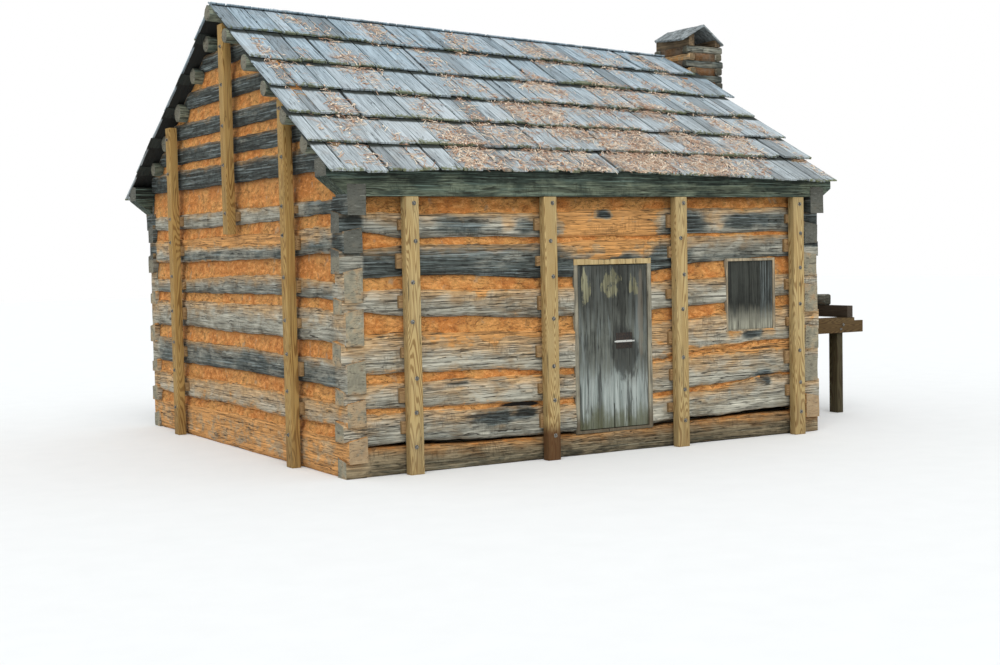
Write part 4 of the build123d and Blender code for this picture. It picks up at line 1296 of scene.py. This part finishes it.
class CABIN_OT_roof_timbers(bpy.types.Operator):
    """Ridge pole, purlins and eave logs"""

    bl_idname = "cabin.roof_timbers"
    bl_label = "Weather the roof timbers"

    def execute(self, context):
        end = end_grain("roof_timber_ends")
        wood = hewn_wood("roof_timbers", 0, (0.88, 0.96, 0.84))
        # The eave logs are tinted darker and greener than the other roof timbers, partly their own colour and
        # partly painted shade under the roof's overhang.
        plate = hewn_wood("eave_logs", 0, (0.55, 0.65, 0.54))
        for node, finish, dark, darker_above in (
            ("eave_log_front", plate, 0.70, 1.10),
            ("eave_log_back", plate, 0.70, 1.10),
            ("ridge_pole", wood, 0.6, 0.0),
            ("purlins_front", wood, 0.6, 0.0),
            ("purlins_back", wood, 0.6, 0.0),
        ):
            make_piece(weathered(node, dark, darker_above), f"weathered_{node}", (finish, end), node)
        return {"FINISHED"}


class CABIN_OT_posts(bpy.types.Operator):
    """Sawn bracing posts and the blocks behind them"""

    bl_idname = "cabin.posts"
    bl_label = "Finish the bracing posts"

    def execute(self, context):
        stained = POSTS[1] + POST_WIDTH / 2
        timber = sawn_timber("bracing_timber", 2, foot=0.9, stained=stained)
        browner = sawn_timber("gable_bracing_timber", 2, (0.40, 0.25, 0.08), foot=0.25)
        for side, finish in (("front", timber), ("back", timber), ("left", browner), ("right", browner)):
            make_sawn(f"{side}_posts", f"sawn_{side}_posts", finish)
        blocks = sawn_timber("spacer_timber", 0, (0.29, 0.18, 0.078))
        make_sawn("spacer_blocks", "sawn_spacer_blocks", blocks, 0.003)
        return {"FINISHED"}


class CABIN_OT_bolts(bpy.types.Operator):
    """Bolts with washers through the posts and the shoring"""

    bl_idname = "cabin.bolts"
    bl_label = "Drive the bolts"

    def execute(self, context):
        shape = bmesh.new()
        radius = sizes().bolt_radius
        chance = random.Random(3)
        for side in (-1, 1):
            bolt_wall_posts(shape, side, radius, chance)
        bolt_gable_posts(shape, radius, chance)
        for side in (-1, 1):
            for x, z in SHORE_BOLTS:
                add_bolt(shape, Vector((MID_X + x, side * SHORE_FACE, z)), Vector((0, side, 0)), radius * 0.8)
        make_piece(shape, "bolts", (galvanised("dull_zinc"),))
        return {"FINISHED"}


def bolt_wall_posts(shape, side, radius, chance):
    """Bolts up the posts of the front or the back, none quite in line."""
    for x in POSTS:
        for z in POST_BOLTS:
            across = MID_X + x + POST_WIDTH / 2 + chance.uniform(-0.02, 0.03)
            place = Vector((across, side * (HALF_D + POST_FACE), z + chance.uniform(-0.02, 0.02)))
            add_bolt(shape, place, Vector((0, side, 0)), radius)


def bolt_gable_posts(shape, radius, chance):
    """Bolts up the posts of both gables, each post only between its ends."""
    for side, y, low, high in GABLE_POSTS:
        for z in GABLE_BOLTS:
            if low + 0.05 < z < high - 0.08:
                across = y + POST_WIDTH / 2 + chance.uniform(-0.02, 0.02)
                place = Vector((MID_X + side * (HALF_W + POST_FACE), across, z + chance.uniform(-0.03, 0.03)))
                add_bolt(shape, place, Vector((side, 0, 0)), radius)


class CABIN_OT_door(bpy.types.Operator):
    """Door boards, frame and ironwork"""

    bl_idname = "cabin.door"
    bl_label = "Finish the door"

    def execute(self, context):
        leaf = sawn("door_leaf", 0.002)
        seed_planks(leaf, DOOR_SEAMS, 0.1)
        boards = board_wood("door_boards", 2, (0.155, 0.165, 0.14), (0.024, 0.026, 0.022), door_stains)
        make_piece(leaf, "door_boards", (boards,), "door_leaf", body="door")
        jamb = board_wood("door_frame_boards", 2, (0.33, 0.30, 0.22), (0.11, 0.10, 0.075), frame_stains)
        make_sawn("door_frame", "door_frame_boards", jamb, 0.003)
        rusty = iron("rusted_iron", HASP_BAR)
        make_sawn("door_ironwork", "door_iron", rusty, 0.0008, body="door")
        make_sawn("hinge_pintles", "pintle_iron", rusty, 0.0005)
        return {"FINISHED"}


def frame_stains(paint, fibre, patch):
    """Cream head board, dark foot."""
    head = paint.axis(2).between(HEAD_BOARD - 0.003, HEAD_BOARD + 0.003)
    cream = paint.mix(fibre.between(0.3, 0.7), (0.34, 0.23, 0.10), (0.52, 0.40, 0.20))
    paint.lay(head, cream)
    foot = (paint.axis(2) + (patch - 0.5) * 0.2).between(0.42, 0.24)
    paint.lay(foot * 0.8, (0.10, 0.075, 0.045))


class CABIN_OT_window(bpy.types.Operator):
    """Window boards and the plank shutter"""

    bl_idname = "cabin.window"
    bl_label = "Finish the window"

    def execute(self, context):
        shutter = sawn("window_shutter", 0.002)
        seed_planks(shutter, SHUTTER_SEAMS, 0.05)
        boards = board_wood("shutter_boards", 2, (0.045, 0.048, 0.040), (0.010, 0.011, 0.009), shutter_stains)
        make_piece(shutter, "shutter_boards", (boards,), "window_shutter")
        trim = board_wood("window_trim", 2, (0.42, 0.34, 0.22), (0.17, 0.14, 0.10))
        make_sawn("window_frame", "window_boards", trim, 0.003)
        return {"FINISHED"}


class CABIN_OT_floor(bpy.types.Operator):
    """Worn floor boards inside"""

    bl_idname = "cabin.floor"
    bl_label = "Finish the floor"

    def execute(self, context):
        boards = board_wood("floor_boards", 0, (0.30, 0.24, 0.17), (0.12, 0.09, 0.06), floor_seams)
        make_sawn("floor", "floor_planks", boards, 0.002)
        return {"FINISHED"}


def floor_seams(paint, fibre, patch):
    """Dark lines between the boards of the floor."""
    line = abs((paint.axis(1) * (math.pi / FLOOR_BOARD)).wave()).between(0.06, 0.02)
    paint.lay(line * 0.9, (0.03, 0.022, 0.015))


class CABIN_OT_chimney(bpy.types.Operator):
    """Pole stack, its clay and the firebox"""

    bl_idname = "cabin.chimney"
    bl_label = "Finish the chimney"

    def execute(self, context):
        poles_x = hewn_wood("chimney_poles_along_x", 0, (1.0, 0.97, 0.92))
        poles_y = hewn_wood("chimney_poles_along_y", 1, (1.0, 0.97, 0.92))
        end = end_grain("chimney_pole_ends", (0.56, 0.54, 0.50))
        for node, axis, wood, wears in (
            ("chimney_poles_front", 0, poles_x, (0.85, 0.12)),
            ("chimney_poles_back", 0, poles_x, (0.85, 0.12)),
            ("chimney_poles_left", 1, poles_y, (0.30, 0.72)),
            ("chimney_poles_right", 1, poles_y, (0.70, 0.30)),
        ):
            make_piece(roundish(node, axis, wears), f"round_{node}", (wood, end), node)
        clay = clay_daub("chimney_clay", 0.6, base=(0.43, 0.27, 0.13))
        make_piece(flue_clay(), "daubed_chimney", (clay,), "chimney_clay", sharp=60)
        make_sawn("chimney_firebox", "firebox_clay", clay_daub("firebox_clay", 0.5), 0.012)
        return {"FINISHED"}


class CABIN_OT_stones(bpy.types.Operator):
    """Fieldstones of the footing and the firebox"""

    bl_idname = "cabin.stones"
    bl_label = "Set the fieldstones"

    def execute(self, context):
        make_sawn("chimney_footing", "footing_earth", clay_daub("footing_earth", 0.8), 0.02)
        mossy, dry = fieldstone("mossy_stone", 0.85), fieldstone("dry_stone", 0.35)
        make_piece(stones_round(FOOTING, 21), "footing_stones", (mossy,), sharp=180)
        make_piece(stones_round(FIREBOX, 22), "firebox_stones", (dry,), sharp=180)
        return {"FINISHED"}


def stones_round(block, seed):
    """Stones in rough rows round three sides of a block, each a little proud of it."""
    left, right, half, foot, top = block
    shape = bmesh.new()
    chance = random.Random(seed)
    layer = wear_layer(shape)
    mean = sizes().stone_length
    sides = (
        (Vector((left, -half, 0)), Vector((1, 0, 0)), right - left, Vector((0, -1, 0))),
        (Vector((right, -half, 0)), Vector((0, 1, 0)), 2 * half, Vector((1, 0, 0))),
        (Vector((right, half, 0)), Vector((-1, 0, 0)), right - left, Vector((0, 1, 0))),
    )
    for start, run, total, outward in sides:
        z = foot
        while z < top - 0.05:
            tall = min(chance.uniform(0.11, 0.2), top - z)
            done = 0.0
            while done < total - 0.06:
                long = min(mean * chance.uniform(0.6, 1.4), total - done)
                centre = start + run * (done + long / 2) + Vector((MID_X, 0, z + tall / 2)) - outward * 0.07
                add_stone(shape, layer, centre, run, outward, (long - 0.012, 0.18, tall - 0.012), chance)
                done += long
            z += tall
    return shape


def add_stone(shape, layer, centre, run, outward, size, chance):
    """One rounded block of uneven shape; size is along the wall, through it and upwards."""
    made = bmesh.ops.create_icosphere(shape, subdivisions=2, radius=0.5)
    seed, tone = chance.random(), chance.random()
    for vertex in made["verts"]:
        square = Vector([math.copysign(abs(c * 2) ** 0.55, c) / 2 for c in vertex.co])
        offset = Vector((seed * 50, tone * 30, seed * 20))
        square *= 1 + 0.10 * noise.noise(square * 2.5 + offset)
        spot = run * (square.x * size[0]) + outward * (square.y * size[1])
        vertex.co = centre + spot + Vector((0, 0, square.z * size[2]))
        vertex[layer] = (tone, 0.5, seed, 1)


class CABIN_OT_cap(bpy.types.Operator):
    """Lapped boards of the chimney cap"""

    bl_idname = "cabin.cap"
    bl_label = "Lay the chimney cap"

    def execute(self, context):
        boards = board_wood("cap_boards", 0, (0.36, 0.40, 0.41), (0.07, 0.08, 0.08))
        make_piece(lapped_boards(), "cap_boards", (boards,), "chimney_cap", normals=True)
        bearers = board_wood("cap_bearer_wood", 1, (0.24, 0.165, 0.09), (0.06, 0.045, 0.03))
        make_piece(split_poles(), "cap_bearers", (bearers,), normals=True)
        return {"FINISHED"}


def cap_slope(foot):
    """Length of a slope of the cap, the way down it and the way up square to it."""
    down = foot - CAP_RIDGE
    length = down.length
    down.normalize()
    square = Vector((-down.z, 0, down.x)) if down.x > 0 else Vector((down.z, 0, -down.x))
    return length, down, square


def lapped_boards():
    """Boards of uneven width laid from the cap's ridge down both its slopes."""
    shape = bmesh.new()
    layer = wear_layer(shape)
    chance = random.Random(8)
    for foot, short in CAP_FEET:
        length, down, square = cap_slope(foot)
        y = -CAP_HALF
        while y < CAP_HALF - 0.005:
            wide = min(chance.uniform(0.09, 0.17), CAP_HALF - y)
            made = bmesh.ops.create_cube(shape, size=1)
            seed = chance.random()
            slip, tip = chance.uniform(-0.01, 0.012), chance.uniform(0, 0.006)
            reach = length - short * (y + CAP_HALF) / (2 * CAP_HALF) + slip
            for vertex in made["verts"]:
                lift = -0.022 if vertex.co.z < 0 else -0.002 + tip
                place = CAP_RIDGE + down * ((vertex.co.y + 0.5) * reach) + square * lift
                vertex.co = Vector((place.x + MID_X, y + (vertex.co.x + 0.5) * (wide - 0.007), place.z))
                vertex[layer] = (chance.random(), 0.2, seed, 1)
            y += wide
    return eased(shape, 0.003)


def split_poles():
    """What lies under the boards of the cap: the two split poles that bear them."""
    shape = copy_of("chimney_cap")
    ridge = CAP_RIDGE + Vector((MID_X, 0, -0.024))
    for foot, _ in CAP_FEET:
        square = cap_slope(foot)[2]
        geometry = shape.verts[:] + shape.edges[:] + shape.faces[:]
        cut = bmesh.ops.bisect_plane(
            shape, geom=geometry, dist=0.0001, plane_co=ridge, plane_no=square, clear_outer=True
        )
        edges = [g for g in cut["geom_cut"] if isinstance(g, bmesh.types.BMEdge)]
        bmesh.ops.holes_fill(shape, edges=edges)
    layer = wear_layer(shape)
    for index, group in enumerate(islands(shape)):
        set_wear(layer, group, random.Random(index * 7 + 3).random())
    return shape


class CABIN_OT_shoring(bpy.types.Operator):
    """Sawn timbers that prop the chimney"""

    bl_idname = "cabin.shoring"
    bl_label = "Finish the shoring"

    def execute(self, context):
        # Dark treated timber, its colours darkened further as painted shade.
        for node, finish in (
            ("shore_posts", sawn_timber("shoring_uprights", 2, (0.060, 0.048, 0.022))),
            ("shore_rails", sawn_timber("shoring_rails", 0, (0.100, 0.060, 0.020))),
            ("shore_needles", sawn_timber("shoring_needles", 1, (0.060, 0.045, 0.03))),
        ):
            make_sawn(node, f"sawn_{node}", finish)
        return {"FINISHED"}


class CABIN_OT_stage(bpy.types.Operator):
    """Pale floor, soft daylight and the camera"""

    bl_idname = "cabin.stage"
    bl_label = "Set the stage"

    def execute(self, context):
        shape = bmesh.new()
        bmesh.ops.create_grid(shape, x_segments=8, y_segments=8, size=GROUND_HALF)
        bmesh.ops.translate(shape, verts=shape.verts[:], vec=(0, 0, -0.001))
        mesh = bpy.data.meshes.new("studio_floor")
        shape.to_mesh(mesh)
        shape.free()
        mesh.materials.append(studio_floor())
        floor = bpy.data.objects.new("studio_floor", mesh)
        context.scene.collection.objects.link(floor)
        light_world(context.scene)
        sun = bpy.data.lights.new("soft_sun", "SUN")
        sun.energy = SUN_STRENGTH
        sun.angle = math.radians(SUN_WIDTH)
        lamp = bpy.data.objects.new("soft_sun", sun)
        lamp.rotation_euler = Vector(SUN_WAY).to_track_quat("-Z", "Y").to_euler()
        context.scene.collection.objects.link(lamp)
        place_camera(context.scene)
        context.scene.view_settings.view_transform = "Standard"
        return {"FINISHED"}


def studio_floor():
    """Nearly white ground with faint clouds."""
    paint = Paint("studio_floor")
    clouds = paint.noise(paint.coords(), 3.0, 2.0)
    paint.colour = paint.mix(clouds, (0.80, 0.80, 0.79), (0.84, 0.84, 0.83))
    return paint.finish(0.9)


def light_world(scene):
    """Soft daylight on the cabin, plain white behind it."""
    paint = Paint("studio_light", bpy.data.worlds.new("studio_light"))
    camera, glossy, through = (
        paint.node("ShaderNodeLightPath", output=name)
        for name in ("Is Camera Ray", "Is Glossy Ray", "Is Transmission Ray")
    )
    glow = paint.node("ShaderNodeBackground", {}, {"Color": (0.93, 0.97, 1.0, 1), "Strength": 0.85})
    plain = paint.node("ShaderNodeBackground", {}, {"Color": (1, 1, 1, 1), "Strength": 1.0})
    seen = camera.highest(glossy).highest(through)
    light = paint.node("ShaderNodeMixShader", {}, {0: seen, 1: glow, 2: plain})
    scene.world = paint.end(light, "ShaderNodeOutputWorld")


def place_camera(scene):
    """Camera at the photograph's place, turned as it was held."""
    data = bpy.data.cameras.new("camera")
    data.sensor_width = 36
    data.lens = CAMERA_LENS
    data.clip_end = 300
    camera = bpy.data.objects.new("camera", data)
    yaw, pitch, roll = (math.radians(turn) for turn in (CAMERA_YAW, CAMERA_PITCH, CAMERA_ROLL))
    forward = Vector((math.sin(yaw) * math.cos(pitch), math.cos(yaw) * math.cos(pitch), math.sin(pitch)))
    level = Vector((math.cos(yaw), -math.sin(yaw), 0))
    upright = level.cross(forward)
    right = level * math.cos(roll) + upright * math.sin(roll)
    up = upright * math.cos(roll) - level * math.sin(roll)
    turn = Matrix((right, up, -forward)).transposed().to_4x4()
    camera.matrix_world = Matrix.Translation(CAMERA_PLACE) @ turn
    scene.collection.objects.link(camera)
    scene.camera = camera


OPERATORS = (
    CABIN_OT_logs,
    CABIN_OT_chinking,
    CABIN_OT_shakes,
    CABIN_OT_leaves,
    CABIN_OT_roof_timbers,
    CABIN_OT_posts,
    CABIN_OT_bolts,
    CABIN_OT_door,
    CABIN_OT_window,
    CABIN_OT_floor,
    CABIN_OT_chimney,
    CABIN_OT_stones,
    CABIN_OT_cap,
    CABIN_OT_shoring,
    CABIN_OT_stage,
)


class CABIN_PT_sidebar(bpy.types.Panel):
    """Sizes, colours and the pieces in the order they are made"""

    bl_label = "Log cabin"
    bl_space_type = "VIEW_3D"
    bl_region_type = "UI"
    bl_category = "Log cabin"

    def draw(self, context):
        for group in (context.scene.cabin_sizes, context.scene.cabin_colours):
            box = self.layout.box()
            for name in group.__annotations__:
                box.prop(group, name)
        for operator in OPERATORS:
            self.layout.operator(operator.bl_idname)


CLASSES = (CabinSizes, CabinColours, *OPERATORS, CABIN_PT_sidebar)


def register():
    for item in CLASSES:
        bpy.utils.register_class(item)
    bpy.types.Scene.cabin_sizes = PointerProperty(type=CabinSizes)
    bpy.types.Scene.cabin_colours = PointerProperty(type=CabinColours)


def unregister():
    del bpy.types.Scene.cabin_colours
    del bpy.types.Scene.cabin_sizes
    for item in reversed(CLASSES):
        bpy.utils.unregister_class(item)


def main():
    register()
    for operator in OPERATORS:
        group, name = operator.bl_idname.split(".")
        getattr(getattr(bpy.ops, group), name)()


if __name__ == "__main__":
    main()
